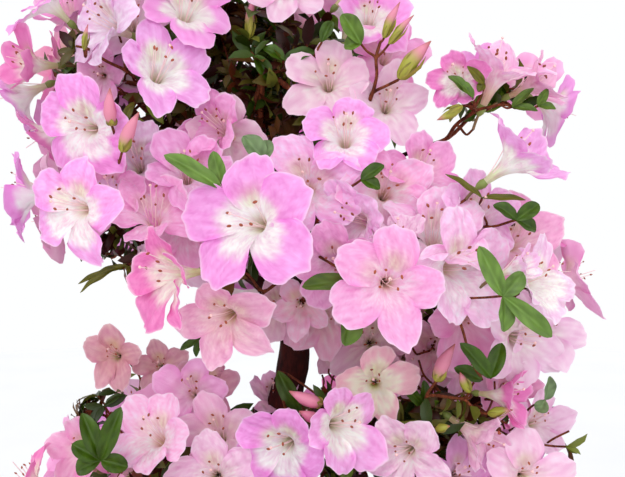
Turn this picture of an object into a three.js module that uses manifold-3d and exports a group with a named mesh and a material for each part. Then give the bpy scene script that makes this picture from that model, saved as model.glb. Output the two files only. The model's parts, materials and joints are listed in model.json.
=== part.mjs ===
// A flowering azalea shrub in a plain round clay pot. Millimetres, +Z up. The origin is in the middle
// of the pot's flat underside, and -Y is the shrub's front. The trunk stands in the potting mix and
// leans as it rises. Boughs leave it in three tiers. Each bough carries one mass of foliage, which
// keeps to a space of its own: a stem, twigs that fork from it, blooms at their tips and leaves.
import * as THREE from "three";
import { mergeVertices } from "three/addons/utils/BufferGeometryUtils.js";
import Module from "manifold-3d";

const wasm = await Module();
wasm.setup();

const GAP = 0.3; // between solids that meet
const MERGE = 0.2; // corners of a fused mass that lie closer than this become one

// The pot is three quarters as tall as it is wide at the band.
const POT = {
  height: 168,
  footRadius: 80,
  lipRadius: 112,
  wall: 8,
  floor: 11,
  bandHeight: 32,
  bandStep: 5,
  sides: 44,
  drains: 3,
  drainRadius: 6,
  drainSides: 10,
  drainRing: 46,
};
const MIX = { top: 148, crownRise: 5, sides: 36 };

// The trunk's centreline goes through these points, up to its tip in the foliage. Its foot is cut level
// on the potting mix, a little above where the centreline starts.
const TRUNK = {
  cut: MIX.top + MIX.crownRise + GAP,
  start: [-1, 0, 139],
  waist: [-10, 5, 235],
  neck: [-12, 2, 330],
  fork: [0, 0, 402],
  shoulder: [-24, 4, 490],
  tip: [-66, 2, 588],
  footRadius: 17.5,
  tipRadius: 4.4,
  flareRadius: 15,
  flareHeight: 26,
  ribs: 5,
  sides: 13,
  rings: 20,
};

const BOUGH = { sides: 6, rings: 6, rise: 0.16, tipRadius: 2.6, thickening: 0.03, mostRadius: 9 };

// The crown's outline is made of these bodies: a low skirt, the shoulders above an open gap, the head,
// and a spray that reaches out to the right. Each is an ellipsoid, whose height changes by "tilt" for
// every millimetre to the right.
const CROWN = [
  { name: "skirt", centre: [2, 6, 318], spread: [202, 180, 66], tilt: 0.05 },
  { name: "shoulders", centre: [2, 6, 474], spread: [198, 176, 68], tilt: -0.14 },
  { name: "head", centre: [-58, 4, 586], spread: [142, 130, 106], tilt: 0 },
  { name: "spray", centre: [138, -64, 574], spread: [64, 60, 42], tilt: 0.1 },
];

// The masses stand in rings. A turn of -90 degrees is the front. "boughsFrom" gives the lowest and
// highest place where the ring's boughs leave the trunk.
const RINGS = [
  {
    name: "lower",
    masses: 5,
    firstTurn: -96,
    middle: [2, 6, 318],
    radius: [124, 106],
    tilt: 0.05,
    boughsFrom: [226, 318],
  },
  {
    name: "middle",
    masses: 5,
    firstTurn: -84,
    middle: [2, 6, 474],
    radius: [120, 104],
    tilt: -0.14,
    boughsFrom: [392, 446],
  },
  {
    name: "upper",
    masses: 4,
    firstTurn: -62,
    middle: [-58, 4, 590],
    radius: [84, 76],
    tilt: 0,
    boughsFrom: [506, 548],
  },
];
const SINGLES = [
  { name: "top", at: [-60, 4, 672] },
  { name: "right_spray", at: [142, -62, 572], boughFrom: 462 },
];

// The blooms that stand out on the shrub's front: where each one's throat is, and which way it faces.
const FRONT_BLOOMS = [
  { name: "main", at: [-9, -170, 479], faces: [-0.2, -1, 0.05] },
  { name: "second", at: [52, -160, 450], faces: [0.15, -1, -0.05] },
  { name: "salmon", at: [-33, -120, 435], faces: [-0.2, -0.95, -0.25] },
  { name: "behind", at: [13, -115, 507], faces: [0, -0.9, 0.4] },
  { name: "violet", at: [36, -85, 532], faces: [0.2, -0.9, 0.4] },
  { name: "pale", at: [24, -60, 570], faces: [0.3, -0.9, 0.3] },
  { name: "upper_left", at: [-86, -92, 574], faces: [-0.2, -0.95, 0.2] },
  { name: "trumpet", at: [-90, -110, 500], faces: [-0.3, -0.9, 0] },
  { name: "left", at: [-118, -104, 536], faces: [-0.5, -0.8, 0.2] },
  { name: "right", at: [85, -110, 490], faces: [0.4, -0.9, 0.2] },
  { name: "right_low", at: [98, -138, 450], faces: [0.4, -0.9, -0.1] },
  { name: "spray", at: [104, -90, 573], faces: [-0.2, -0.7, 0.7] },
  { name: "low_left", at: [-87, -75, 350], faces: [-0.2, -0.9, 0.4] },
  { name: "low_middle", at: [3, -90, 348], faces: [0, -0.9, 0.5] },
  { name: "low_right", at: [81, -80, 340], faces: [0.2, -0.9, 0.4] },
];

const BLOOM = { radius: 46, depth: 34, throat: 0.5, notch: 0.66, spacing: 0.87, tries: 3000 };
const BLOOM_SIZES = [1, 0.85, 0.7]; // the smaller ones fill in between the larger
const LEAF = { length: 46, width: 18, thickness: 1.5, perShoot: 2, perBloom: 1, lean: 56 };
const TWIG = { tipRadius: 1.2, growth: 0.42, wayCost: 0.35, sunk: 7, collar: 7, clearance: 1.5, sides: 3, stemSides: 5 };
const BETWEEN_MASSES = 1.2; // how far each mass keeps from the plane between it and its neighbour
const PETALS_REACH = 1.1; // how far petals and leaves stand out of a body that their blooms' throats lie on
const BARE_BELOW = -0.92; // no bloom stands where the crown's outside looks down more steeply than this
const BARE_CORE = [66, 8]; // from the trunk's middle to the nearest twigs, at its foot and at its tip
const DEEPEST = 0.44; // how far in a bloom may stand, as a share of the way out to the crown's outside
const SEED = 7919;

// The colour and the roughness of each finish.
const FINISHES = {
  clay: [0xb5694a, 0.85],
  mix: [0x3a2a20, 1],
  bark: [0x4a2a20, 0.9],
  blossom: [0xf0aade, 0.6],
};

const vec = (p) => new THREE.Vector3(...p);
const radians = THREE.MathUtils.degToRad;

// Numbers from 0 to 1 that follow from the seed alone.
function numbersFrom(seed) {
  let state = seed >>> 0;
  return () => {
    state = (state + 0x6d2b79f5) >>> 0;
    let t = Math.imul(state ^ (state >>> 15), state | 1);
    t = (t + Math.imul(t ^ (t >>> 7), t | 61)) ^ t;
    return ((t ^ (t >>> 14)) >>> 0) / 4294967296;
  };
}

function solidOf(geometry) {
  const bare = geometry.index ? geometry : geometry.clone();
  bare.deleteAttribute("normal");
  bare.deleteAttribute("uv");
  const merged = mergeVertices(bare, 1e-4);
  return new wasm.Manifold(
    new wasm.Mesh({
      numProp: 3,
      vertProperties: new Float32Array(merged.attributes.position.array),
      triVerts: new Uint32Array(merged.index.array),
    }),
  );
}

function geometryOf(solid) {
  const mesh = solid.getMesh();
  const geometry = new THREE.BufferGeometry();
  geometry.setAttribute("position", new THREE.BufferAttribute(new Float32Array(mesh.vertProperties), 3));
  geometry.setIndex(new THREE.BufferAttribute(new Uint32Array(mesh.triVerts), 1));
  geometry.computeVertexNormals();
  return geometry;
}

function namedMesh(name, solid, material) {
  const mesh = new THREE.Mesh(geometryOf(solid), material);
  mesh.name = name;
  return mesh;
}

// Turns a profile of [radius, height] points about the pot's axis.
function turned(profile, sides) {
  const points = profile.map(([r, h]) => new THREE.Vector2(r, h));
  const geometry = new THREE.LatheGeometry(points, sides);
  geometry.rotateX(Math.PI / 2);
  const solid = solidOf(geometry);
  if (solid.volume() > 0) return solid;
  return solidOf(new THREE.LatheGeometry(points.reverse(), sides).rotateX(Math.PI / 2));
}

// The pot's radius at a height: its outside is a plain cone, with the band's step near the lip.
function potRadius(height) {
  return THREE.MathUtils.lerp(POT.footRadius, POT.lipRadius, height / POT.height);
}

function potSolid() {
  const { height, wall, floor, bandHeight, bandStep, footRadius } = POT;
  const edge = 2.5;
  const bandFoot = height - bandHeight;
  const profile = [
    [0, 0],
    [footRadius - edge, 0],
    [footRadius, edge],
    [potRadius(bandFoot), bandFoot],
    [potRadius(bandFoot) + bandStep, bandFoot + 2],
    [potRadius(height) + bandStep, height - edge],
    [potRadius(height) + bandStep - edge, height],
    [potRadius(height) - wall + edge, height],
    [potRadius(height) - wall, height - edge],
    [potRadius(floor) - wall, floor],
    [0, floor],
  ];
  let pot = turned(profile, POT.sides);
  for (let i = 0; i < POT.drains; i++) {
    const turn = (2 * Math.PI * i) / POT.drains;
    const drain = new THREE.CylinderGeometry(POT.drainRadius, POT.drainRadius, 4 * floor, POT.drainSides);
    drain.rotateX(Math.PI / 2);
    drain.translate(POT.drainRing * Math.cos(turn), POT.drainRing * Math.sin(turn), 0);
    pot = pot.subtract(solidOf(drain));
  }
  return pot;
}

function mixSolid() {
  const inside = (height) => potRadius(height) - POT.wall - GAP;
  const foot = POT.floor + GAP;
  const profile = [
    [0, foot],
    [inside(foot), foot],
    [inside(MIX.top), MIX.top],
    [inside(MIX.top) * 0.62, MIX.top + MIX.crownRise * 0.7],
    [TRUNK.footRadius + TRUNK.flareRadius + 4, MIX.top + MIX.crownRise],
    [0, MIX.top + MIX.crownRise],
  ];
  return turned(profile, MIX.sides);
}

// A tapering limb: a cylinder bent along a curve. radiusAt gives its radius, from the share of its
// length and the turn round it.
function limb(curve, radiusAt, sides, rings) {
  const geometry = new THREE.CylinderGeometry(1, 1, 1, sides, rings);
  const frames = curve.computeFrenetFrames(rings, false);
  const position = geometry.attributes.position;
  for (let i = 0; i < position.count; i++) {
    const share = position.getY(i) + 0.5;
    const ring = Math.round(share * rings);
    const across = new THREE.Vector2(position.getX(i), position.getZ(i));
    const radius = across.length() < 1e-6 ? 0 : radiusAt(share, Math.atan2(across.y, across.x));
    const place = curve.getPointAt(share);
    place.addScaledVector(frames.binormals[ring], across.x * radius);
    place.addScaledVector(frames.normals[ring], across.y * radius);
    position.setXYZ(i, place.x, place.y, place.z);
  }
  return solidOf(geometry);
}

const trunkCurve = new THREE.CatmullRomCurve3(
  [TRUNK.start, TRUNK.waist, TRUNK.neck, TRUNK.fork, TRUNK.shoulder, TRUNK.tip].map(vec),
);

// The trunk's radius without its root flare.
function trunkRadius(share) {
  return THREE.MathUtils.lerp(TRUNK.footRadius, TRUNK.tipRadius, share ** 1.15);
}

// With grown, the trunk stands that much further out all over, for cutting what meets it.
function trunkSolid(grown = 0) {
  const length = trunkCurve.getLength();
  const below = TRUNK.cut - TRUNK.start[2];
  const radiusAt = (share, turn) => {
    const flare = Math.exp((below - share * length) / TRUNK.flareHeight);
    const rib = 0.72 + 0.28 * Math.cos(TRUNK.ribs * turn + 0.8);
    return trunkRadius(share) + TRUNK.flareRadius * flare * rib + grown;
  };
  return limb(trunkCurve, radiusAt, TRUNK.sides, TRUNK.rings).trimByPlane([0, 0, 1], TRUNK.cut - grown);
}

// The place and the share along the trunk where its centreline reaches a height.
function onTrunk(height) {
  let low = 0;
  let high = 1;
  for (let i = 0; i < 30; i++) {
    const middle = (low + high) / 2;
    if (trunkCurve.getPointAt(middle).z < height) low = middle;
    else high = middle;
  }
  return { share: low, place: trunkCurve.getPointAt(low) };
}

const SIDES = ["right", "back_right", "back", "back_left", "left", "front_left", "front", "front_right"];
function sideName(turn) {
  return SIDES[((Math.round(turn / 45) % 8) + 8) % 8];
}

// The masses of foliage, each with its middle and the height where its bough leaves the trunk. The top
// mass has no bough, because the trunk's own tip carries it.
function allMasses() {
  const found = [];
  for (const ring of RINGS) {
    for (let i = 0; i < ring.masses; i++) {
      const turn = ring.firstTurn + (360 * i) / ring.masses;
      const across = ring.radius[0] * Math.cos(radians(turn));
      const along = ring.radius[1] * Math.sin(radians(turn));
      const centre = vec(ring.middle).add(new THREE.Vector3(across, along, ring.tilt * across));
      // Successive boughs leave the trunk at heights that climb round it by leaps of two fifths of the
      // way.
      const boughFrom = THREE.MathUtils.lerp(ring.boughsFrom[0], ring.boughsFrom[1], (i * 0.4) % 1);
      found.push({ name: `${ring.name}_${sideName(turn)}`, centre, boughFrom });
    }
  }
  for (const { name, at, boughFrom } of SINGLES) found.push({ name, centre: vec(at), boughFrom });
  return found;
}
const masses = allMasses();

// Where a point lies in a body of the crown, with the body's middle at zero and its surface at a
// distance of one.
function placeIn(body, point) {
  const [x, y, z] = body.centre;
  const across = point.x - x;
  return new THREE.Vector3(
    across / body.spread[0],
    (point.y - y) / body.spread[1],
    (point.z - z - body.tilt * across) / body.spread[2],
  );
}

function pointOf(body, place) {
  const across = place.x * body.spread[0];
  return new THREE.Vector3(
    body.centre[0] + across,
    body.centre[1] + place.y * body.spread[1],
    body.centre[2] + place.z * body.spread[2] + body.tilt * across,
  );
}

// Round the trunk the crown is bare, widely so lower down and hardly at all at the trunk's tip.
const bareCore = Array.from({ length: 41 }, (_, i) => {
  const share = i / 40;
  return { at: trunkCurve.getPointAt(share), radius: THREE.MathUtils.lerp(BARE_CORE[0], BARE_CORE[1], share ** 3) };
});

function inCrown(point) {
  return (
    CROWN.some((body) => placeIn(body, point).length() <= PETALS_REACH) &&
    bareCore.every((ball) => ball.at.distanceTo(point) > ball.radius)
  );
}

// A mass's space is the part of the crown that is nearer to its own middle than to any other's.
function inSpace(mass, point) {
  const own = mass.centre.distanceTo(point);
  for (const other of masses) {
    if (other === mass) continue;
    const apart = other.centre.distanceTo(mass.centre);
    const past = (other.centre.distanceTo(point) ** 2 - own ** 2) / (2 * apart);
    if (past < BETWEEN_MASSES) return false;
  }
  return inCrown(point);
}

// The bough's curve, from inside the trunk to the place where it enters its mass, and the way on to the
// mass's heart.
function boughOf(mass) {
  if (!mass.boughFrom) {
    const from = trunkCurve.getPointAt(1);
    const heart = mass.centre.clone().lerp(from, 0.55);
    const way = trunkCurve.getTangentAt(1);
    return { root: from.clone().addScaledVector(way, GAP), way, heart };
  }
  const start = onTrunk(mass.boughFrom);
  const heart = mass.centre.clone().lerp(start.place, 0.15);
  let share = 1;
  const at = (t) => start.place.clone().lerp(heart, t);
  while (inSpace(mass, at(share))) share -= 0.01;
  const end = at(share + 0.01);
  const rise = start.place.distanceTo(end) * BOUGH.rise;
  const middle = start.place.clone().lerp(end, 0.5);
  middle.z += rise;
  const curve = new THREE.QuadraticBezierCurve3(start.place, middle, end);
  const way = curve.getTangentAt(1);
  const root = end.clone().addScaledVector(way, GAP);
  return { curve, length: curve.getLength(), share: start.share, root, way, heart };
}

// The bough's radius along its length. A collar swells where it leaves the trunk.
function boughRadius(bough, share) {
  const base = Math.min(
    BOUGH.tipRadius + BOUGH.thickening * bough.length,
    0.72 * trunkRadius(bough.share),
    BOUGH.mostRadius,
  );
  return THREE.MathUtils.lerp(base, BOUGH.tipRadius, share) + base * 0.35 * Math.exp(-share * 9);
}

function boughSolid(bough, grown = 0) {
  return limb(bough.curve, (share) => boughRadius(bough, share) + grown, BOUGH.sides, BOUGH.rings);
}

// The trunk and boughs as strings of balls, for keeping twigs, leaves and blooms clear of them.
function limbBalls(boughs) {
  const balls = [];
  const step = 4;
  const along = (curve, radiusAt, last) => {
    const count = Math.ceil(curve.getLength() / step);
    for (let i = 0; i <= count * last; i++) {
      balls.push({ at: curve.getPointAt(i / count), radius: radiusAt(i / count) });
    }
  };
  along(trunkCurve, trunkRadius, 0.985);
  for (const bough of boughs) {
    if (bough.curve) along(bough.curve, (share) => boughRadius(bough, share), 0.93);
  }
  return balls;
}

function clearOf(balls, point) {
  return balls.every((ball) => ball.at.distanceTo(point) > ball.radius + TWIG.clearance);
}

// A closed solid from points and faces, whichever way round the faces are.
function closedSolid(points, faces) {
  const solid = new wasm.Manifold(
    new wasm.Mesh({
      numProp: 3,
      vertProperties: new Float32Array(points.flatMap((p) => p.toArray())),
      triVerts: new Uint32Array(faces.flat()),
    }),
  );
  if (solid.volume() > 0) return solid;
  return closedSolid(
    points,
    faces.map(([a, b, c]) => [a, c, b]),
  );
}

// The largest body of a solid that a cut may have left in several.
function largestOf(solid) {
  return solid.decompose().sort((a, b) => b.volume() - a.volume())[0];
}

// Axes at a place: z along the direction, x and y turned by spin about it.
function axesAt(place, direction, spin) {
  const z = direction.clone().normalize();
  const level = Math.abs(z.z) > 0.95 ? new THREE.Vector3(1, 0, 0) : new THREE.Vector3(0, 0, 1);
  const across = level.clone().cross(z).normalize();
  const up = z.clone().cross(across);
  const x = across.clone().multiplyScalar(Math.cos(spin)).addScaledVector(up, Math.sin(spin));
  const y = up.clone().multiplyScalar(Math.cos(spin)).addScaledVector(across, -Math.sin(spin));
  return (a, b, c) => place.clone().addScaledVector(x, a).addScaledVector(y, b).addScaledVector(z, c);
}

// A bloom as a solid: five petals that flare from a funnel. Its foot is at the place and its throat
// faces the direction. Its points are the foot, the throat, and for each petal the notch before it and
// the two ends of its rim.
const PETALS = 5;
const RIM = 3;
function bloomPoints(place, direction, spin, size) {
  const at = axesAt(place, direction, spin);
  const radius = BLOOM.radius * size;
  const depth = BLOOM.depth * size;
  const ring = (turn, r, h) => at(r * Math.cos(radians(turn)), r * Math.sin(radians(turn)), h);
  const points = [at(0, 0, 0), at(0, 0, BLOOM.throat * depth)];
  for (let k = 0; k < PETALS; k++) {
    points.push(ring(72 * k - 36, BLOOM.notch * radius, 0.9 * depth));
    points.push(ring(72 * k - 18, radius, 0.98 * depth));
    points.push(ring(72 * k + 18, radius, 0.98 * depth));
  }
  return points;
}

function bloomSolid(points) {
  const [foot, throat, first] = [0, 1, 2];
  const rim = RIM * PETALS;
  const faces = [];
  for (let i = 0; i < rim; i++) {
    const [here, next] = [first + i, first + ((i + 1) % rim)];
    faces.push([foot, next, here], [throat, here, next]);
  }
  return closedSolid(points, faces);
}

// A leaf of eight faces, with its root at the place.
function leafPoints(place, direction, spin) {
  const { length, width, thickness } = LEAF;
  const widest = 0.55 * length;
  const at = axesAt(place, direction, spin);
  return [
    at(0, 0, 0),
    at(width / 2, 0, widest),
    at(0, 0, length),
    at(-width / 2, 0, widest),
    at(0, thickness / 2, widest),
    at(0, -thickness / 2, widest),
  ];
}

function leafSolid(points) {
  const faces = [];
  for (let i = 0; i < 4; i++) {
    const next = (i + 1) % 4;
    faces.push([i, next, 4], [next, i, 5]);
  }
  return closedSolid(points, faces);
}

// A twig of flat sides along a string of points.
function twigSolid(string, radii, sides) {
  const points = [];
  string.forEach((point, i) => {
    const before = string[Math.max(i - 1, 0)];
    const after = string[Math.min(i + 1, string.length - 1)];
    const at = axesAt(point, after.clone().sub(before), 0);
    for (let k = 0; k < sides; k++) {
      const turn = (2 * Math.PI * k) / sides;
      points.push(at(radii[i] * Math.cos(turn), radii[i] * Math.sin(turn), 0));
    }
  });
  const faces = [];
  for (let i = 0; i + 1 < string.length; i++) {
    for (let k = 0; k < sides; k++) {
      const [a, b] = [i * sides + k, i * sides + ((k + 1) % sides)];
      faces.push([a, b, b + sides], [a, b + sides, a + sides]);
    }
  }
  const last = (string.length - 1) * sides;
  for (let k = 1; k + 1 < sides; k++) faces.push([0, k + 1, k], [last, last + k, last + k + 1]);
  return closedSolid(points, faces);
}

// The points on the way from one place to another, every few millimetres.
function waypoints(from, to) {
  const count = Math.ceil(from.distanceTo(to) / 4) + 1;
  return Array.from({ length: count + 1 }, (_, i) => from.clone().lerp(to, i / count));
}

function allFit(mass, balls, points) {
  return points.every((point) => inSpace(mass, point) && clearOf(balls, point));
}

// Some points on each petal's middle line and rim besides the corners.
function bloomFits(mass, balls, points) {
  const between = [];
  for (let k = 0; k < PETALS; k++) {
    const [left, right] = [points[3 + RIM * k], points[4 + RIM * k]];
    const end = left.clone().lerp(right, 0.5);
    between.push(end, points[1].clone().lerp(end, 0.35), points[1].clone().lerp(end, 0.7));
  }
  return allFit(mass, balls, [...points, ...between]);
}

// Which way a bloom faces: out of the crown, a little away from the mass's heart and up to the light.
function facing(bough, body, place, face) {
  const out = new THREE.Vector3(place.x, place.y, place.z).divide(vec(body.spread)).normalize();
  const away = face.clone().sub(bough.heart).normalize();
  return out.addScaledVector(away, 0.6).add(new THREE.Vector3(0, 0, 0.1)).normalize();
}

// The places where shoots end: the front's own blooms first, and then others spread evenly over the
// crown's outside, the large before the small. A bloom is drawn in along its own line until it fits.
function shootTips(mass, bough, balls, random) {
  const tips = [];
  const crowds = (tip, face, size) =>
    tip.face.distanceTo(face) < BLOOM.radius * (tip.size + size) * BLOOM.spacing;
  const add = (face, axis, spin, size) => {
    if (tips.some((tip) => crowds(tip, face, size))) return false;
    const foot = face.clone().addScaledVector(axis, -BLOOM.depth * size);
    const points = bloomPoints(foot, axis, spin, size);
    if (!bloomFits(mass, balls, points)) return false;
    tips.push({ foot, face, axis, size, points });
    return true;
  };
  for (const bloom of FRONT_BLOOMS) {
    const axis = vec(bloom.faces).normalize();
    const spin = 2 * Math.PI * random();
    if (!inSpace(mass, vec(bloom.at))) continue;
    for (const size of BLOOM_SIZES) {
      let back = 0;
      while (back < 20 && !add(vec(bloom.at).addScaledVector(axis, -back), axis, spin, size)) back += 4;
      if (back < 20) break;
    }
  }
  for (let tries = 0; tries < BLOOM.tries; tries++) {
    const body = CROWN[Math.floor(CROWN.length * random())];
    const z = 2 * random() - 1;
    const turn = 2 * Math.PI * random();
    const spin = 2 * Math.PI * random();
    const size = BLOOM_SIZES[Math.floor((BLOOM_SIZES.length * tries) / BLOOM.tries)];
    const flat = Math.sqrt(1 - z * z);
    const place = new THREE.Vector3(flat * Math.cos(turn), flat * Math.sin(turn), z);
    if (z < BARE_BELOW || !inSpace(mass, pointOf(body, place.clone().multiplyScalar(0.9)))) continue;
    for (let out = 1; out > DEEPEST; out -= 0.06) {
      const face = pointOf(body, place.clone().multiplyScalar(out));
      if (add(face, facing(bough, body, place, face), spin, size)) break;
    }
  }
  return tips;
}

// Joins each tip to a point already grown, by the shortest way from the stem that isn't a long way
// round.
function growTwigs(mass, bough, tips, balls) {
  const { root, heart } = bough;
  const collar = root.clone().addScaledVector(bough.way, TWIG.collar);
  const nodes = [
    { at: root, parent: -1, way: 0, load: 0 },
    { at: collar, parent: 0, way: TWIG.collar, load: 0 },
    { at: heart, parent: 1, way: root.distanceTo(heart), load: 0 },
  ];
  const joined = [];
  const near = [...tips].sort((a, b) => a.foot.distanceTo(heart) - b.foot.distanceTo(heart));
  for (const tip of near) {
    let best = null;
    nodes.forEach((node, i) => {
      if (i < 2 || node.end) return;
      const run = node.at.distanceTo(tip.foot);
      const cost = run + TWIG.wayCost * node.way;
      if (best && cost >= best.cost) return;
      // A twig sets off towards its tip and turns into the bloom's own line near the end.
      const bend = tip.foot.clone().addScaledVector(tip.axis, -0.35 * run).lerp(node.at, 0.25);
      if (!allFit(mass, balls, [...waypoints(node.at, bend).slice(1), ...waypoints(bend, tip.foot)])) return;
      best = { cost, i, run, bend };
    });
    if (!best) continue;
    const from = nodes[best.i];
    nodes.push({ at: best.bend, parent: best.i, way: from.way + from.at.distanceTo(best.bend), load: 0 });
    const into = tip.foot.clone().addScaledVector(tip.axis, TWIG.sunk);
    nodes.push({ at: into, parent: nodes.length - 1, way: from.way + best.run, load: 0, end: true });
    for (let i = nodes.length - 1; i >= 0; i = nodes[i].parent) nodes[i].load += 1;
    joined.push(tip);
  }
  return { nodes, joined };
}

function twigRadius(load) {
  return TWIG.tipRadius * Math.max(load, 1) ** TWIG.growth;
}

// The stem from the bough's tip to the mass's heart, then a twig to each tip.
function twigSolids(nodes) {
  const stem = nodes.slice(0, 3);
  const thick = twigRadius(stem[2].load);
  const string = stem.map((node) => node.at);
  const pieces = [twigSolid(string, [BOUGH.tipRadius, BOUGH.tipRadius, thick], TWIG.stemSides)];
  for (const node of nodes) {
    if (!node.end) continue;
    const bend = nodes[node.parent];
    const from = nodes[bend.parent];
    const fromRadius = twigRadius(bend.load);
    const radii = [fromRadius, fromRadius * 0.9, TWIG.tipRadius];
    pieces.push(twigSolid([from.at, bend.at, node.at], radii, TWIG.sides));
  }
  return pieces;
}

// A whorl of leaves where a shoot's bud was.
function leafWhorl(at, axis, count, random) {
  const lean = radians(LEAF.lean);
  const first = 2 * Math.PI * random();
  const frame = axesAt(new THREE.Vector3(), axis, first);
  return Array.from({ length: count }, (_, i) => {
    const turn = (2 * Math.PI * i) / count + 0.5 * (random() - 0.5);
    const direction = frame(Math.sin(lean) * Math.cos(turn), Math.sin(lean) * Math.sin(turn), Math.cos(lean));
    return leafPoints(at, direction, 2 * Math.PI * random());
  });
}

// Builds one mass: the stem and its twigs, with blooms and leaves fused on. What would leave the space
// or touch a limb is skipped.
function massSolid(mass, bough, balls) {
  const random = numbersFrom(SEED * (1 + masses.indexOf(mass)));
  const { nodes, joined } = growTwigs(mass, bough, shootTips(mass, bough, balls, random), balls);
  const pieces = [...joined.map((tip) => bloomSolid(tip.points)), ...twigSolids(nodes)];
  for (const node of nodes.slice(2)) {
    const axis = node.at.clone().sub(nodes[node.parent].at).normalize();
    const count = node.end ? LEAF.perBloom : LEAF.perShoot;
    const at = node.end ? node.at.clone().addScaledVector(axis, -TWIG.sunk - 1) : node.at;
    for (const points of leafWhorl(at, axis, count, random)) {
      const middle = points[0].clone().lerp(points[2], 0.28);
      if (allFit(mass, balls, [...points, middle])) pieces.push(leafSolid(points));
    }
  }
  return largestOf(wasm.Manifold.union(pieces).simplify(MERGE));
}

function finishOf(slot) {
  const [colour, roughness] = FINISHES[slot];
  return new THREE.MeshStandardMaterial({ color: colour, roughness, metalness: 0 });
}

function shrub() {
  const group = new THREE.Group();
  const addNode = (name, solid, slot) => group.add(namedMesh(name, solid, finishOf(slot)));
  addNode("pot", potSolid(), "clay");
  addNode("potting_mix", mixSolid(), "mix");
  addNode("trunk", trunkSolid(), "bark");

  const boughs = masses.map(boughOf);
  let taken = trunkSolid(GAP);
  masses.forEach((mass, i) => {
    if (!boughs[i].curve) return;
    addNode(`bough_${mass.name}`, largestOf(boughSolid(boughs[i]).subtract(taken)), "bark");
    taken = taken.add(boughSolid(boughs[i], GAP));
  });
  const balls = limbBalls(boughs);
  masses.forEach((mass, i) => addNode(`foliage_${mass.name}`, massSolid(mass, boughs[i], balls), "blossom"));
  return group;
}

export default shrub();
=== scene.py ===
# Dresses the potted azalea shrub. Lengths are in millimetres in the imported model's own frame, and become
# metres when a mesh is made. The crown grows by the same seeded rule as the model's solids: spaces,
# boughs, stems and twigs. Here the rule is carried on to finer shoots, with life-size blooms, buds and
# leaves, and the blooms that stand out in the photo are set where its pixels show them.
import functools
import json
import math
from math import cos, pi, radians, sin, tau
from types import SimpleNamespace as Named

import bmesh
import bpy
import numpy as np
from mathutils import Matrix, Vector, noise
from numpy.linalg import norm

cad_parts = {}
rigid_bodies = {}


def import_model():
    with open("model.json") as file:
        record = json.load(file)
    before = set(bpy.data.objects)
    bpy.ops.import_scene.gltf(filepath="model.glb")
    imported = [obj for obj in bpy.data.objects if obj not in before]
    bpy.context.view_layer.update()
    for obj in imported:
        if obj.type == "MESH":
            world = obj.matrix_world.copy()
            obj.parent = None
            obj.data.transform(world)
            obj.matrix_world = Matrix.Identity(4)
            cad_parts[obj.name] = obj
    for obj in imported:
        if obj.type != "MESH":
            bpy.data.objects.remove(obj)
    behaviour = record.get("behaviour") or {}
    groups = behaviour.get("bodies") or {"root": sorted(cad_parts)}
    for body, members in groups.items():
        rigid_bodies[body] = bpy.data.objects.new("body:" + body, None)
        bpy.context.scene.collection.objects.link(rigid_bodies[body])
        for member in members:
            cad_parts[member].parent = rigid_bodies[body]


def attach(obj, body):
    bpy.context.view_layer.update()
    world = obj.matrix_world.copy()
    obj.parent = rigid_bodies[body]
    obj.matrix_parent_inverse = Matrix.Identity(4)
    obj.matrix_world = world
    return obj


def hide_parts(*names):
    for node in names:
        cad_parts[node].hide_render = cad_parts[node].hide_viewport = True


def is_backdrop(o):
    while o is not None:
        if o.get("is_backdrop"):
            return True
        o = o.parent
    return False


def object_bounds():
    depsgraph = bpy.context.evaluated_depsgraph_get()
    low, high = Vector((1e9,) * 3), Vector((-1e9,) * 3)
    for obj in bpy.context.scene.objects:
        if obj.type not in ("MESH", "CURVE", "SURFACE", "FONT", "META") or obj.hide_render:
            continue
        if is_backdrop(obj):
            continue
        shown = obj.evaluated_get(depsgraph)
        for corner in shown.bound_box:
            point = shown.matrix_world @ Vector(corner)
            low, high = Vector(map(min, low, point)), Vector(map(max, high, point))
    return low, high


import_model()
cad_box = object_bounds()

MM = 0.001
BODY = "root"

# The photo's frame, and the camera that it was taken with.
IMAGE_WIDTH = 625
IMAGE_HEIGHT = 477
CAMERA_AT = np.array([13.0, -570.0, 474.0])
FOCAL_PIXELS = 780
SENSOR = 36

# The model's own named sizes, from which the crown grows.
POT = Named(
    height=168, foot_radius=80, lip_radius=112, wall=8, floor=11, band_height=32, band_step=5, drains=3,
    drain_radius=6, drain_ring=46,
)
MIX = Named(top=148, crown_rise=5)
GAP = 0.3
TRUNK_POINTS = [
    [-1, 0, 139],
    [-10, 5, 235],
    [-12, 2, 330],
    [0, 0, 402],
    [-24, 4, 490],
    [-66, 2, 588],
]
TRUNK = Named(
    cut=MIX.top + MIX.crown_rise + GAP, foot_radius=17.5, tip_radius=4.4, flare_radius=15,
    flare_height=26, ribs=5,
)
BOUGH = Named(
    rise=0.16, tip_radius=2.6, thickening=0.03, most_radius=9, share_of_trunk=0.72, collar=0.35,
    collar_fade=9, heart=0.15, top_heart=0.55, spray_slimmer=0.5,
)
CROWN = {
    "skirt": Named(centre=[2, 6, 318], spread=[202, 180, 66], tilt=0.05),
    "shoulders": Named(centre=[2, 6, 474], spread=[198, 176, 68], tilt=-0.14),
    "head": Named(centre=[-58, 4, 586], spread=[142, 130, 106], tilt=0),
    "spray": Named(centre=[138, -64, 574], spread=[64, 60, 42], tilt=0.1),
}
RINGS = {
    "lower": Named(masses=5, turn=-96, middle=[2, 6, 318], radius=[124, 106], tilt=0.05, boughs=(226, 318)),
    "middle": Named(masses=5, turn=-84, middle=[2, 6, 474], radius=[120, 104], tilt=-0.14, boughs=(392, 446)),
    "upper": Named(masses=4, turn=-62, middle=[-58, 4, 590], radius=[84, 76], tilt=0, boughs=(506, 548)),
}
SINGLES = {"top": ([-60, 4, 672], None), "right_spray": ([142, -62, 572], 462)}
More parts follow.
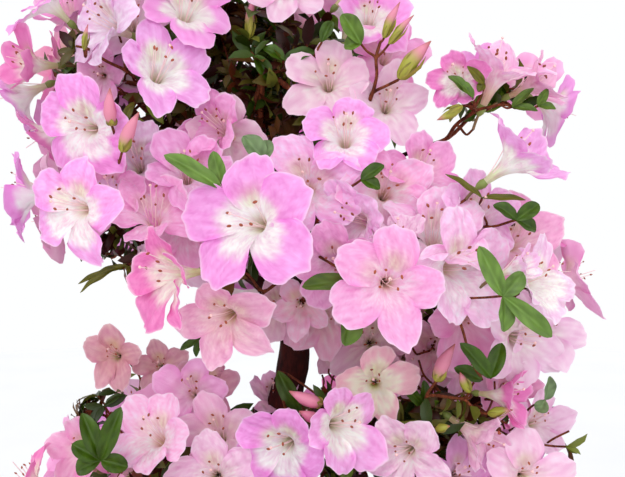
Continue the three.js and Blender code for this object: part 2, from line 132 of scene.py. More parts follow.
FRONT_SITES = {
    "main": ([-9, -170, 479], [-0.2, -1, 0.05]),
    "second": ([52, -160, 450], [0.15, -1, -0.05]),
    "salmon": ([-33, -120, 435], [-0.2, -0.95, -0.25]),
    "behind": ([13, -115, 507], [0, -0.9, 0.4]),
    "violet": ([36, -85, 532], [0.2, -0.9, 0.4]),
    "pale": ([24, -60, 570], [0.3, -0.9, 0.3]),
    "upper_left": ([-86, -92, 574], [-0.2, -0.95, 0.2]),
    "trumpet": ([-90, -110, 500], [-0.3, -0.9, 0]),
    "left": ([-118, -104, 536], [-0.5, -0.8, 0.2]),
    "right": ([85, -110, 490], [0.4, -0.9, 0.2]),
    "right_low": ([98, -138, 450], [0.4, -0.9, -0.1]),
    "spray": ([104, -90, 573], [-0.2, -0.7, 0.7]),
    "low_left": ([-87, -75, 350], [-0.2, -0.9, 0.4]),
    "low_middle": ([3, -90, 348], [0, -0.9, 0.5]),
    "low_right": ([81, -80, 340], [0.2, -0.9, 0.4]),
}

# The model's sites for shoots, and how many life-size blooms a site of each size carries.
SITE = Named(radius=46, depth=34, throat=0.5, notch=0.66, spacing=0.87, tries=3000)
SITE_RIM = [0.9, 0.98, 0.98]
SITE_BACKS = range(0, 20, 4)
SITE_INWARD = [1 - 0.06 * step for step in range(10)]
BLOOMS_OF_SITE = {1: 3, 0.85: 2, 0.7: 1}

TWIG = Named(
    way_cost=0.35, collar=7, clearance=1.5, aim=0.35, bend=0.25, thin=0.75, thickening=0.34, slack=0.35,
)
BETWEEN_MASSES = 1.2
PETALS_REACH = 1.1
BARE_BELOW = -0.92
BARE_CORE = [66, 8]
SEED = 7919
PETALS = 5

# How finely curves are measured and ways are tried, and how far pieces may stand out of the solids' box.
CURVE_STEPS = 201
NUDGE = 1e-4
CHECK_SPACING = 4
BOX_MARGIN = 7


def unit(vectors):
    vectors = np.asarray(vectors, float)
    return vectors / np.maximum(norm(vectors, axis=-1, keepdims=True), 1e-12)


def smooth_step(low, high, value):
    share = np.clip((value - low) / (high - low), 0, 1)
    return share * share * (3 - 2 * share)


# Numbers from 0 to 1 that follow from the seed alone.
def numbers_from(seed):
    mask = 0xFFFFFFFF
    state = seed & mask

    def draw():
        nonlocal state
        state = (state + 0x6D2B79F5) & mask
        mixed = ((state ^ (state >> 15)) * (state | 1)) & mask
        again = ((mixed ^ (mixed >> 7)) * (mixed | 61)) & mask
        mixed = ((mixed + again) & mask) ^ mixed
        return (mixed ^ (mixed >> 14)) / 4294967296

    return draw


# Where the photo's pixels are in space, and where places in space are in the photo.
def place_of(pixel, depth):
    scale = depth / FOCAL_PIXELS
    across = (pixel[0] - IMAGE_WIDTH / 2) * scale
    down = (pixel[1] - IMAGE_HEIGHT / 2) * scale
    return CAMERA_AT + np.array([across, depth, -down])


def pixels_of(points):
    away = np.atleast_2d(points) - CAMERA_AT
    depth = np.maximum(away[:, 1], 1)
    x = IMAGE_WIDTH / 2 + away[:, 0] * FOCAL_PIXELS / depth
    y = IMAGE_HEIGHT / 2 - away[:, 2] * FOCAL_PIXELS / depth
    return np.stack([x, y, depth], axis=1)


# A curve, given as a function from 0 to 1, that is read by its share of length.
class Curve:
    def __init__(self, at):
        self.at = at
        self.turns = np.linspace(0, 1, CURVE_STEPS)
        points = at(self.turns)
        steps = norm(np.diff(points, axis=0), axis=1)
        self.lengths = np.concatenate([[0], np.cumsum(steps)])
        self.length = self.lengths[-1]

    def turn_of(self, share):
        return np.interp(np.atleast_1d(share) * self.length, self.lengths, self.turns)

    def place(self, share):
        return self.at(self.turn_of(share))

    def tangent(self, share):
        turn = self.turn_of(share)
        return unit(self.at(np.minimum(turn + NUDGE, 1)) - self.at(np.maximum(turn - NUDGE, 0)))


# The smooth curve through some points, with its bends eased by the distances between them.
def curve_through(points):
    p = np.array(points, float)
    ended = np.array([2 * p[0] - p[1], *p, 2 * p[-1] - p[-2]])
    spans = norm(np.diff(ended, axis=0), axis=1) ** 0.5

    def at(turns):
        along = np.atleast_1d(turns) * (len(p) - 1)
        i = np.minimum(along.astype(int), len(p) - 2)
        w = (along - i)[:, None]
        x0, x1, x2, x3 = (ended[i + k] for k in range(4))
        d0, d1, d2 = (spans[i + k][:, None] for k in range(3))
        t1 = ((x1 - x0) / d0 - (x2 - x0) / (d0 + d1) + (x2 - x1) / d1) * d1
        t2 = ((x2 - x1) / d1 - (x3 - x1) / (d1 + d2) + (x3 - x2) / d2) * d1
        square = -3 * x1 + 3 * x2 - 2 * t1 - t2
        cube = 2 * x1 - 2 * x2 + t1 + t2
        return x1 + t1 * w + square * w**2 + cube * w**3

    return Curve(at)


# A simple bend from a start to an end, drawn towards a middle.
def bent(start, middle, end, t):
    return start * (1 - t) ** 2 + middle * 2 * t * (1 - t) + end * t**2


def arch(start, middle, end):
    return Curve(lambda turns: bent(start, middle, end, np.atleast_1d(turns)[:, None]))


trunk_curve = curve_through(TRUNK_POINTS)


def trunk_radius(share):
    taper = np.asarray(share, float) ** 1.15
    return TRUNK.foot_radius + (TRUNK.tip_radius - TRUNK.foot_radius) * taper


# The share of the trunk's length at a height, and the trunk's middle there.
def on_trunk(height):
    low, high = 0.0, 1.0
    for _ in range(30):
        middle = (low + high) / 2
        if trunk_curve.place(middle)[0][2] < height:
            low = middle
        else:
            high = middle
    return low, trunk_curve.place(low)[0]


# The sides that masses are named after, at turns of 45 degrees.
SIDES = ["right", "back_right", "back", "back_left", "left", "front_left", "front", "front_right"]


# The crown's masses: rings of them about the trunk, then single ones.
def all_masses():
    found = []
    for ring_name, ring in RINGS.items():
        for i in range(ring.masses):
            turn = ring.turn + 360 * i / ring.masses
            across = ring.radius[0] * cos(radians(turn))
            along = ring.radius[1] * sin(radians(turn))
            centre = np.array(ring.middle) + np.array([across, along, ring.tilt * across])
            low, high = ring.boughs
            name = f"{ring_name}_{SIDES[math.floor(turn / 45 + 0.5) % 8]}"
            bough_from = low + (high - low) * (i * 0.4 % 1)
            found.append(Named(name=name, centre=centre, bough_from=bough_from))
    for name, (at, bough_from) in SINGLES.items():
        found.append(Named(name=name, centre=np.array(at, float), bough_from=bough_from))
    return found


masses = all_masses()
CENTRES = np.array([mass.centre for mass in masses])


# Places by a body's own measure, in which its surface is at 1 from its centre, and back from there.
def place_in(body, points):
    centre, spread = np.array(body.centre), np.array(body.spread)
    away = points - centre
    away[:, 2] -= body.tilt * away[:, 0]
    return away / spread


def point_of(body, place):
    away = place * np.array(body.spread)
    away[..., 2] += body.tilt * away[..., 0]
    return np.array(body.centre) + away


core_shares = np.linspace(0, 1, 41)
CORE_AT = trunk_curve.place(core_shares)
CORE_RADIUS = BARE_CORE[0] + (BARE_CORE[1] - BARE_CORE[0]) * core_shares**3


# Whether places are within a reach of the crown's bodies, and outside the bare core round the trunk.
def in_crown(points, reach=PETALS_REACH):
    inside = np.zeros(len(points), bool)
    for body in CROWN.values():
        inside |= norm(place_in(body, points), axis=1) <= reach
    away = norm(points[:, None] - CORE_AT[None], axis=2)
    return inside & (away > CORE_RADIUS).all(axis=1)


# Whether places belong to a mass: nearer to its centre than to any other.
def in_space(index, points):
    points = np.atleast_2d(points)
    away = norm(points[:, None] - CENTRES[None], axis=2)
    apart = norm(CENTRES - CENTRES[index], axis=1)
    apart[index] = 1
    past = (away**2 - away[:, [index]] ** 2) / (2 * apart)
    past[:, index] = BETWEEN_MASSES
    return (past >= BETWEEN_MASSES).all(axis=1) & in_crown(points)


# The bough's curve up to the place where it enters its mass, and the way on to the mass's heart.
def bough_of(index):
    mass = masses[index]
    if mass.bough_from is None:
        tip = trunk_curve.place(1)[0]
        way = trunk_curve.tangent(1)[0]
        heart = mass.centre + BOUGH.top_heart * (tip - mass.centre)
        return Named(curve=None, root=tip + GAP * way, way=way, heart=heart, slimmer=0)
    trunk_share, start = on_trunk(mass.bough_from)
    heart = mass.centre + BOUGH.heart * (start - mass.centre)
    share, step = 1.0, 0.01
    while in_space(index, start + share * (heart - start))[0]:
        share -= step
    end = start + (share + step) * (heart - start)
    middle = (start + end) / 2
    middle[2] += BOUGH.rise * norm(end - start)
    curve = arch(start, middle, end)
    way = curve.tangent(1)[0]
    root = end + GAP * way
    slimmer = BOUGH.spray_slimmer if mass.name == "right_spray" else 0
    return Named(curve=curve, share=trunk_share, root=root, way=way, heart=heart, slimmer=slimmer)


def bough_radius(bough, share):
    base = min(
        BOUGH.tip_radius + BOUGH.thickening * bough.curve.length,
        BOUGH.share_of_trunk * float(trunk_radius(bough.share)),
        BOUGH.most_radius,
    )
    collar = base * BOUGH.collar * np.exp(-share * BOUGH.collar_fade)
    radius = base + (BOUGH.tip_radius - base) * share + collar
    return radius * (1 - bough.slimmer * smooth_step(0.3, 0.9, share))


boughs = [bough_of(index) for index in range(len(masses))]


# The trunk and boughs as strings of balls, for keeping twigs, leaves and blooms clear of them.
def limb_balls():
    places, radii = [], []

    def along(curve, radius_at, last):
        count = math.ceil(curve.length / CHECK_SPACING)
        shares = np.arange(0, math.floor(count * last) + 1) / count
        places.append(curve.place(shares))
        radii.append(radius_at(shares))

    along(trunk_curve, trunk_radius, 0.985)
    for bough in boughs:
        if bough.curve:
            along(bough.curve, lambda shares: bough_radius(bough, shares), 0.93)
    return np.concatenate(places), np.concatenate(radii)


BALL_AT, BALL_RADIUS = limb_balls()


def clear_of_limbs(points):
    away = norm(points[:, None] - BALL_AT[None], axis=2)
    return (away > BALL_RADIUS + TWIG.clearance).all(axis=1)


# Axes at a place: z along the direction, x and y turned by spin about it.
def axes_at(direction, spin=0.0):
    z = unit(direction)
    level = np.array([1.0, 0, 0]) if abs(z[2]) > 0.95 else np.array([0, 0, 1.0])
    across = unit(np.cross(level, z))
    up = np.cross(z, across)
    x = across * cos(spin) + up * sin(spin)
    y = up * cos(spin) - across * sin(spin)
    return np.array([x, y, z])


# The turns of a funnel's notch and of the two corners of a petal, for each of its petals.
SITE_TURNS = np.radians([[72 * k + side for side in (-36, -18, 18)] for k in range(PETALS)])


# The points of a model's bloom that have to fit: its foot, throat, rim, and the petals' middles.
def site_points(foot, axis, spin, size):
    radius = SITE.radius * size * np.array([SITE.notch, 1, 1])
    height = SITE.depth * size * np.array(SITE_RIM)
    across = np.cos(SITE_TURNS) * radius
    along = np.sin(SITE_TURNS) * radius
    local = np.stack([across, along, np.broadcast_to(height, across.shape)], axis=-1)
    ends = (local[:, 1] + local[:, 2]) / 2
    throat = np.array([0, 0, SITE.throat * SITE.depth * size])
    between = [throat + share * (ends - throat) for share in (0.35, 0.7)]
    points = np.concatenate([[[0, 0, 0], throat], local.reshape(-1, 3), ends, *between])
    return foot + points @ axes_at(axis, spin)


def all_fit(index, points):
    return bool(in_space(index, points).all() and clear_of_limbs(points).all())


# The way that a bloom faces: out of the crown, away from its mass's heart, and a little up.
def facing(bough, body, place, face):
    out = unit(place / np.array(body.spread))
    away = unit(face - bough.heart)
    return unit(out + 0.6 * away + np.array([0, 0, 0.1]))


# The direction that leans away from the last of some axes, at a turn about it.
def leaning(axes, lean, turn):
    local = [sin(lean) * cos(turn), sin(lean) * sin(turn), cos(lean)]
    return unit(np.array(local) @ axes)


# The places where the model's shoots end: the front's own first, then others spread evenly over the
# crown's outside, the large before the small.
def shoot_sites(index):
    random = numbers_from(SEED * (1 + index))
    bough = boughs[index]
    sites = []

    def add(face, axis, spin, size):
        for site in sites:
            spacing = SITE.radius * (site.size + size) * SITE.spacing
            if norm(site.face - face) < spacing:
                return False
        foot = face - SITE.depth * size * axis
        if not all_fit(index, site_points(foot, axis, spin, size)):
            return False
        sites.append(Named(foot=foot, face=face, axis=axis, size=size))
        return True

    for at, faces in FRONT_SITES.values():
        axis = unit(faces)
        spin = tau * random()
        if in_space(index, np.array(at, float))[0]:
            any(add(at - back * axis, axis, spin, size) for size in BLOOMS_OF_SITE for back in SITE_BACKS)
    tries = SITE.tries
    draws = np.array([[random() for _ in range(4)] for _ in range(tries)])
    bodies = list(CROWN.values())
    chosen = np.floor(len(bodies) * draws[:, 0]).astype(int)
    z = 2 * draws[:, 1] - 1
    flat = np.sqrt(1 - z * z)
    turn = tau * draws[:, 2]
    places = np.stack([flat * np.cos(turn), flat * np.sin(turn), z], axis=1)
    inner = np.array([point_of(bodies[c], 0.9 * place) for c, place in zip(chosen, places)])
    wanted = in_space(index, inner) & (z >= BARE_BELOW)
    for i in np.flatnonzero(wanted):
        body = bodies[chosen[i]]
        size = list(BLOOMS_OF_SITE)[len(BLOOMS_OF_SITE) * i // tries]
        spin = tau * draws[i, 3]
        for inward in SITE_INWARD:
            face = point_of(body, places[i] * inward)
            if add(face, facing(bough, body, places[i], face), spin, size):
                break
    return sites


def waypoints(start, end):
    count = math.ceil(norm(end - start) / CHECK_SPACING) + 1
    shares = np.arange(count + 1)[:, None] / count
    return start + shares * (end - start)


# A mass's skeleton: places with their parents. Each has the twig's way there from the stem's root.
class Skeleton:
    def __init__(self, index):
        bough = boughs[index]
        root, heart = bough.root, bough.heart
        collar = root + TWIG.collar * bough.way
        self.index = index
        self.at = [root, collar, heart]
        self.parent = [-1, 0, 1]
        self.way = [0, TWIG.collar, norm(root - heart)]
        self.load = [0, 0, 0]
        self.ends = [False, False, False]

    def add(self, at, parent, ends=False):
        self.at.append(at)
        self.parent.append(parent)
        self.way.append(self.way[parent] + norm(at - self.at[parent]))
        self.load.append(0)
        self.ends.append(ends)
        return len(self.at) - 1

    # The places that a twig may join, with the run from each to a foot and what the twig costs.
    def costs(self, foot):
        open_places = [i for i in range(2, len(self.at)) if not self.ends[i]]
        runs = norm(np.array([self.at[i] for i in open_places]) - foot, axis=1)
        return open_places, runs, runs + TWIG.way_cost * np.array([self.way[i] for i in open_places])

    def least_cost(self, foot):
        return float(self.costs(foot)[2].min())

    # Joins a foot to the cheapest place that is open to it, and gives the end's number.
    def join(self, foot, axis, strict=True, clear=None):
        open_places, runs, costs = self.costs(foot)
        for rank in np.argsort(costs, kind="stable"):
            i, run = open_places[rank], runs[rank]
            aimed = foot - TWIG.aim * run * axis
            bend = aimed + TWIG.bend * (self.at[i] - aimed)
            way = np.concatenate([waypoints(self.at[i], bend)[1:], waypoints(bend, foot)])
            fits = all_fit(self.index, way) if strict else clear_of_limbs(way).all()
            if fits and (clear is None or clear(way)):
                return self.add(foot, self.add(bend, i), ends=True)
        return None

    def carry(self, end, load=1):
        while end >= 0:
            self.load[end] += load
            end = self.parent[end]


def twig_radius(load):
    return TWIG.thin * np.maximum(load, 1) ** TWIG.thickening


# What the photo shows from its camera: the sky windows, where nothing may stand, and the dark places
# that show the crown's inside, where nothing may stand before a depth. Each is an ellipse of pixels.
SKY = {
    "left_gap": (96, 298, 34, 34),
    "left_gap_floor": (134, 321, 26, 10),
    "left_gap_notch": (160, 336, 16, 12),
    "left_gap_end": (184, 354, 17, 16),
    "left_edge_hole": (84, 381, 9, 12),
    "beside_salmon": (251, 364, 24, 32),
    "beside_salmon_foot": (238, 391, 13, 12),
    "beside_trunk": (313, 358, 11, 11),
    "below_trunk_leaf": (304, 380, 6, 7),
    "upper_left_hole": (143, 107, 5, 8),
    "top_right": (500, 12, 78, 34),
    "top_right_inner": (446, 22, 26, 26),
    "beside_buds": (421, 103, 14, 26),
    "under_branch": (468, 146, 46, 17),
    "before_flare": (497, 125, 12, 14),
    "right_edge": (545, 194, 14, 8),
    "under_spray": (500, 125, 24, 9),
    "above_spray": (470, 24, 70, 18),
    "before_spray": (420, 66, 5, 16),
    "between_spray": (494, 46, 4, 12),
}
DARK = {
    "upper_left_inside": (232, 84, 27, 66, 560),
    "upper_left_foot": (160, 127, 22, 17, 540),
    "red_twigs": (116, 252, 18, 14, 600),
    "under_main": (292, 272, 26, 10, 545),
    "beside_trumpet": (110, 208, 8, 8, 520),
    "left_of_trunk": (242, 404, 18, 16, 560),
    "right_of_trunk": (328, 390, 26, 18, 640),
    "trunk": (292, 348, 17, 30, 590),
    "lower_right": (428, 402, 26, 26, 620),
    "lower_left": (100, 393, 16, 10, 620),
    "lower_right_edge": (530, 440, 20, 10, 560),
    "lower_right_end": (468, 398, 14, 14, 600),
    "under_pale": (350, 386, 14, 18, 600),
}


# Whether places are inside the solids' own box, or past it by no more than a margin.
def in_box(points):
    low, high = (np.array(corner) / MM for corner in cad_box)
    return bool(((points > low - BOX_MARGIN) & (points < high + BOX_MARGIN)).all())


def in_ellipse(pixels, margin, x, y, across, down):
    return np.hypot((pixels[:, 0] - x) / (across + margin), (pixels[:, 1] - y) / (down + margin)) < 1


# Whether places, with a reach about them, stand where the photo shows sky, or before its dark places,
# where leaves and twigs may stand and blooms may not.
def open_to_sky(points, reach=0.0, leafy=False):
    pixels = pixels_of(points)
    margin = reach * FOCAL_PIXELS / pixels[:, 2]
    hidden = np.zeros(len(pixels), bool)
    for window in SKY.values():
        hidden |= in_ellipse(pixels, margin, *window)
    if not leafy:
        for *place, depth in DARK.values():
            hidden |= in_ellipse(pixels, margin, *place) & (pixels[:, 2] < depth)
    return hidden


# The blooms that stand out in the photo. Each row gives the pixel in the middle of the rim, the depth
# from the camera, the width when spread flat, how far it faces right and up, the turn of one petal in
# the picture, how wide it is open, and its kind. The lighter and darker copies of the pink among the
# kinds hold painted light and painted shade.
BLOOMS_SEEN = {
    "main": ((246, 219), 421, 69, (-0.5, 0.22), 94, 1.05, "margined"),
    "second": ((390, 285), 424, 62, (0.06, -0.02), 76, 1.08, "pink"),
    "salmon": ((221, 323), 446, 62, (-0.26, -0.2), 262, 0.95, "salmon"),
    "behind_main": ((306, 187), 464, 66, (-0.08, 0.1), 110, 1.05, "bright"),
    "leaning_left": ((346, 222), 454, 58, (-0.72, 0.0), 100, 0.8, "bright"),
    "violet": ((345, 132), 470, 58, (-0.05, 0.40), 92, 0.95, "violet"),
    "pale": ((328, 80), 500, 58, (-0.04, 0.2), 89, 1.05, "pale"),
    "top": ((285, -16), 500, 54, (0.0, -0.2), 268, 0.95, "pale"),
    "upper_left": ((163, 66), 468, 63, (0.44, 0.38), 96, 1.0, "violet"),
    "upper_left_behind": ((189, 4), 490, 60, (0.35, 0.5), 345, 0.95, "margined"),
    "top_left": ((96, 22), 480, 60, (-0.6, 0.1), 80, 0.85, "pale"),
    "top_left_second": ((130, 20), 505, 58, (0.1, 0.1), 90, 1.0, "pale"),
    "left_edge": ((82, 130), 452, 58, (-0.2, -0.2), 80, 1.0, "margined"),
    "left_low": ((70, 211), 442, 60, (-0.42, -0.12), 66, 1.05, "violet"),
    "trumpet": ((152, 208), 462, 60, (0.08, 0.6), 118, 0.92, "pink"),
    "side_trumpet": ((208, 124), 482, 54, (-0.55, 0.25), 120, 0.7, "pink"),
    "pale_beside_main": ((224, 136), 492, 54, (0.1, 0.1), 80, 0.9, "pale"),
    "under_trumpet": ((186, 232), 480, 58, (0.1, -0.25), 200, 1.0, "pink"),
    "between_left": ((134, 162), 478, 56, (0.0, 0.2), 90, 0.9, "pale"),
    "above_main": ((186, 170), 470, 56, (0.1, 0.35), 120, 0.9, "pink"),
    "sideways": ((158, 278), 436, 62, (-0.74, -0.1), 102, 0.85, "rose"),
    "between_blooms": ((336, 266), 456, 54, (-0.1, -0.1), 170, 0.95, "pink"),
    "streaked": ((437, 224), 450, 66, (0.0, 0.68), 92, 0.8, "streaked"),
    "large_pale": ((466, 270), 438, 68, (0.5, -0.02), 20, 0.95, "streaked"),
    "right_inner": ((388, 190), 468, 60, (0.1, 0.2), 110, 1.0, "bright"),
    "right_upper": ((426, 168), 482, 56, (0.25, 0.35), 100, 0.9, "pink"),
    "right_petals": ((480, 214), 462, 58, (0.25, 0.35), 85, 0.9, "bright"),
    "pale_upper_right": ((389, 104), 500, 54, (0.05, 0.1), 90, 0.95, "pale"),
    "pink_upper_right": ((388, 54), 512, 54, (0.1, 0.1), 70, 0.9, "pink"),
    "top_right_pink": ((373, 12), 502, 54, (0.1, 0.3), 100, 0.75, "margined"),
    "spray_left": ((456, 78), 482, 40, (-0.42, 0.22), 98, 0.95, "rose"),
    "spray_up": ((508, 53), 482, 68, (0.36, 0.86), 110, 0.62, "bright"),
    "spray_right": ((549, 78), 488, 52, (0.82, 0.34), 75, 0.65, "salmon"),
    "flare": ((529, 150), 450, 63, (0.76, 0.58), 75, 0.74, "violet"),
    "right_edge_white": ((545, 278), 440, 50, (0.55, 0.20), 60, 0.75, "white"),
    "right_edge_pink": ((520, 240), 466, 58, (0.1, 0.25), 90, 0.9, "pink"),
    "right_low_pale": ((524, 344), 486, 62, (0.25, -0.15), 200, 1.0, "pale"),
    "right_mauve": ((470, 322), 500, 60, (0.1, -0.1), 100, 1.0, "pink"),
    "lower_side": ((517, 398), 486, 48, (0.82, 0.0), 85, 0.6, "rose"),
    "salmon_side": ((492, 447), 480, 60, (0.72, -0.45), 60, 0.6, "salmon"),
    "lower_right_pale": ((528, 480), 490, 56, (0.0, 0.1), 90, 1.0, "pale"),
    "lower_pale": ((404, 457), 478, 54, (-0.42, -0.08), 124, 1.0, "pale"),
    "cream": ((374, 386), 494, 50, (-0.1, 0.05), 90, 0.9, "cream"),
    "lower_violet": ((347, 427), 468, 58, (0.58, 0.06), 100, 0.95, "violet"),
    "lower_margined": ((280, 450), 466, 62, (-0.36, -0.1), 112, 1.05, "margined"),
    "lower_left": ((148, 434), 478, 60, (-0.34, 0.5), 112, 0.9, "streaked"),
    "lower_left_pink": ((216, 432), 500, 56, (-0.1, 0.5), 100, 0.8, "dusky_painted_shade_and_light"),
    "lower_left_behind": ((190, 392), 520, 54, (-0.05, 0.3), 90, 0.85, "pink"),
    "lower_foot": ((214, 478), 474, 54, (0.0, 0.2), 95, 1.0, "pale"),
    "far_left": ((113, 357), 600, 50, (-0.05, 0.1), 88, 1.0, "shaded"),
    "far_left_second": ((160, 367), 606, 44, (0.1, 0.15), 95, 0.9, "shaded"),
    "far_middle": ((207, 388), 600, 58, (0.0, 0.2), 80, 0.95, "shaded"),
    "far_under_main": ((278, 311), 546, 52, (-0.1, -0.2), 250, 1.0, "dusky_painted_shade_and_light"),
    "far_under_second": ((324, 318), 546, 56, (0.1, -0.1), 290, 1.0, "dusky_painted_shade_and_light"),
    "far_right": ((372, 344), 548, 60, (0.0, 0.1), 80, 1.0, "dusky_painted_shade_and_light"),
    "far_right_second": ((410, 364), 560, 56, (0.1, -0.1), 200, 0.95, "dusky_painted_shade_and_light"),
    "far_petal": ((274, 392), 560, 50, (0.1, 0.5), 95, 0.6, "dusky_painted_shade_and_light"),
    "far_right_low": ((336, 353), 602, 44, (0.0, 0.0), 80, 0.9, "dusky_painted_shade_and_light"),
    "lower_edge_left": ((78, 452), 510, 46, (-0.2, 0.2), 90, 0.9, "pink"),
    "gap_right": ((436, 350), 548, 54, (0.1, -0.1), 70, 0.95, "dusky_painted_shade_and_light"),
    "gap_right_second": ((470, 368), 535, 50, (0.2, 0.0), 110, 0.9, "dusky_painted_shade_and_light"),
    "gap_right_third": ((510, 388), 540, 46, (0.1, 0.1), 80, 0.9, "deep"),
    "gap_right_fourth": ((398, 366), 575, 46, (-0.1, 0.2), 100, 0.9, "dusky_painted_shade_and_light"),
    "gap_right_edge": ((540, 424), 530, 46, (0.2, 0.2), 80, 0.9, "pale"),
    "gap_lower": ((462, 476), 500, 50, (0.1, 0.2), 95, 0.9, "pink"),
    "low_right_petals": ((548, 330), 500, 54, (0.2, 0.2), 75, 0.9, "pale"),
    "left_between": ((108, 192), 470, 52, (0.0, 0.2), 95, 0.85, "pink"),
    "left_top_inside": ((100, 78), 500, 40, (0.1, -0.3), 230, 0.7, "pink"),
    "white_tips": ((399, 226), 442, 40, (0.0, 0.92), 90, 0.5, "pale"),
    "furled_white": ((529, 262), 430, 34, (0.75, 0.42), 90, 0.35, "white"),
    "far_between": ((301, 307), 508, 42, (0.0, -0.2), 265, 0.95, "dusky_painted_shade_and_light"),
}

# Where the petals' tips of the plainest blooms are in the photo.
TIPS_SEEN = {
    "main": [(245, 151), (183, 208), (208, 284), (303, 268), (309, 190)],
    "second": [(399, 224), (340, 250), (331, 312), (406, 349), (443, 287)],
    "salmon": [(170, 322), (212, 370), (269, 353), (276, 306), (204, 283)],
    "upper_left": [(149, 14), (123, 49), (160, 114), (210, 100), (205, 47)],
    "pale": [(335, 40), (286, 60), (287, 112), (346, 112), (370, 75)],
    "violet": [(358, 98), (302, 120), (318, 164), (372, 164), (390, 132)],
    "lower_violet": [(340, 388), (311, 432), (337, 474), (379, 466), (376, 400)],
    "lower_margined": [(300, 410), (245, 418), (234, 464), (286, 492), (322, 460)],
    "lower_left": [(124, 398), (110, 458), (150, 476), (188, 440), (166, 392)],
}

# The pixels of the anthers of the two nearest blooms.
ANTHERS_SEEN = {
    "main": [(228, 213), (229, 226), (241, 225), (251, 224), (255, 202)],
    "second": [(375, 272), (386, 270), (402, 277), (398, 289), (380, 287)],
}


# The leaves that stand out: the pixel of the shoot's end, the depth from the camera, the leaves' width,
# their tone, where 'sunlit' holds painted light and 'deep' painted shade, and the pixel of each leaf's tip.
LEAVES_SEEN = {
    "over_main": ((221, 188), 438, 10, "sunlit", [(164, 155)]),
    "beside_main": ((222, 184), 440, 9, "sunlit", [(213, 151)]),
    "above_main": ((264, 162), 440, 12, "grey", [(243, 136), (266, 140)]),
    "right_upper": ((361, 180), 450, 8, "deep", [(384, 165), (380, 189)]),
    "right_whorl": ((503, 296), 415, 10, "sunlit", [(479, 246), (523, 272), (504, 332), (552, 337)]),
    "right_dark": ((516, 220), 450, 9, "deep", [(539, 204), (536, 231), (493, 205)]),
    "under_between": ((350, 281), 436, 10, "fresh", [(302, 287)]),
    "under_second": ((352, 306), 446, 14, "fresh", [(345, 346)]),
    "before_trunk": ((278, 371), 530, 12, "deep", [(300, 411)]),
    "left_whorl": ((101, 460), 462, 11, "deep", [(82, 413), (121, 407), (72, 444), (128, 467), (76, 471)]),
    "lower_right_pair": ((491, 378), 462, 10, "deep", [(460, 343), (502, 343)]),
    "lower_right_small": ((482, 380), 482, 9, "deep", [(454, 368)]),
    "lower_middle": ((424, 408), 505, 7, "deep", [(398, 376), (424, 380)]),
    "small_trio": ((200, 338), 470, 5, "deep", [(180, 350), (211, 328), (196, 357)]),
    "left_gap_twig": ((118, 268), 500, 4.5, "olive", [(78, 284), (80, 293)]),
    "left_gap_hanging": ((128, 266), 500, 4.5, "olive", [(136, 290), (98, 272), (137, 282)]),
    "top_pair": ((322, 42), 498, 8, "deep", [(332, 21)]),
    "top_broad": ((361, 44), 492, 12, "fresh", [(342, 14), (344, 47)]),
    "top_arch": ((284, 60), 508, 9, "deep", [(315, 52), (263, 48)]),
    "top_inside": ((255, 55), 505, 9, "deep", [(270, 81)]),
    "spray_first": ((473, 98), 474, 7, "fresh", [(448, 76), (458, 82)]),
    "spray_second": ((484, 84), 476, 6, "olive", [(467, 66), (478, 92)]),
    "spray_third": ((512, 107), 482, 6, "fresh", [(538, 111), (534, 88)]),
    "spray_fourth": ((538, 106), 480, 6, "fresh", [(548, 88), (556, 109)]),
    "thin_curved": ((482, 198), 455, 4.5, "olive", [(445, 174), (526, 200)]),
    "upper_left_small": ((124, 122), 500, 6, "olive", [(134, 102), (147, 124)]),
    "upper_left_dark": ((118, 32), 500, 6, "deep", [(115, 14)]),
    "lower_foot_leaf": ((350, 478), 480, 10, "fresh", [(336, 458)]),
    "right_side_leaf": ((545, 400), 500, 9, "grey", [(550, 376), (538, 412)]),
}

# Where the crown's dark inside shows between the blooms: the pixel, the depth, the reach and the number
# of small leafy shoots that fill it.
THICKETS = {
    "right": ((428, 400), 552, 32, 40),
    "right_end": ((470, 396), 545, 26, 26),
    "right_low": ((500, 422), 526, 24, 16),
    "right_edge": ((536, 446), 528, 22, 8),
    "right_gap": ((452, 350), 552, 24, 7),
    "right_of_trunk": ((336, 392), 582, 24, 34),
    "left_of_trunk": ((248, 404), 566, 13, 12),
    "beside_trunk": ((320, 386), 580, 11, 14),
    "left_edge": ((104, 403), 552, 15, 14),
    "red_twigs": ((116, 252), 530, 18, 16),
    "red_twigs_left": ((86, 262), 500, 10, 4),
    "upper_left": ((236, 70), 572, 46, 34),
    "upper_left_foot": ((168, 126), 545, 26, 9),
    "upper_left_gap": ((112, 62), 520, 22, 9),
    "upper_left_low": ((134, 92), 515, 18, 12),
    "under_main": ((286, 276), 556, 22, 8),
    "spray": ((478, 104), 486, 9, 3),
    "right_dark": ((518, 216), 470, 14, 6),
    "low_middle": ((432, 436), 530, 22, 22),
    "low_left": ((240, 412), 560, 20, 12),
    "foot_gap": ((331, 476), 500, 13, 12),
    "beside_trumpet": ((108, 236), 500, 10, 9),
    "upper_left_top": ((262, 30), 565, 20, 14),
}

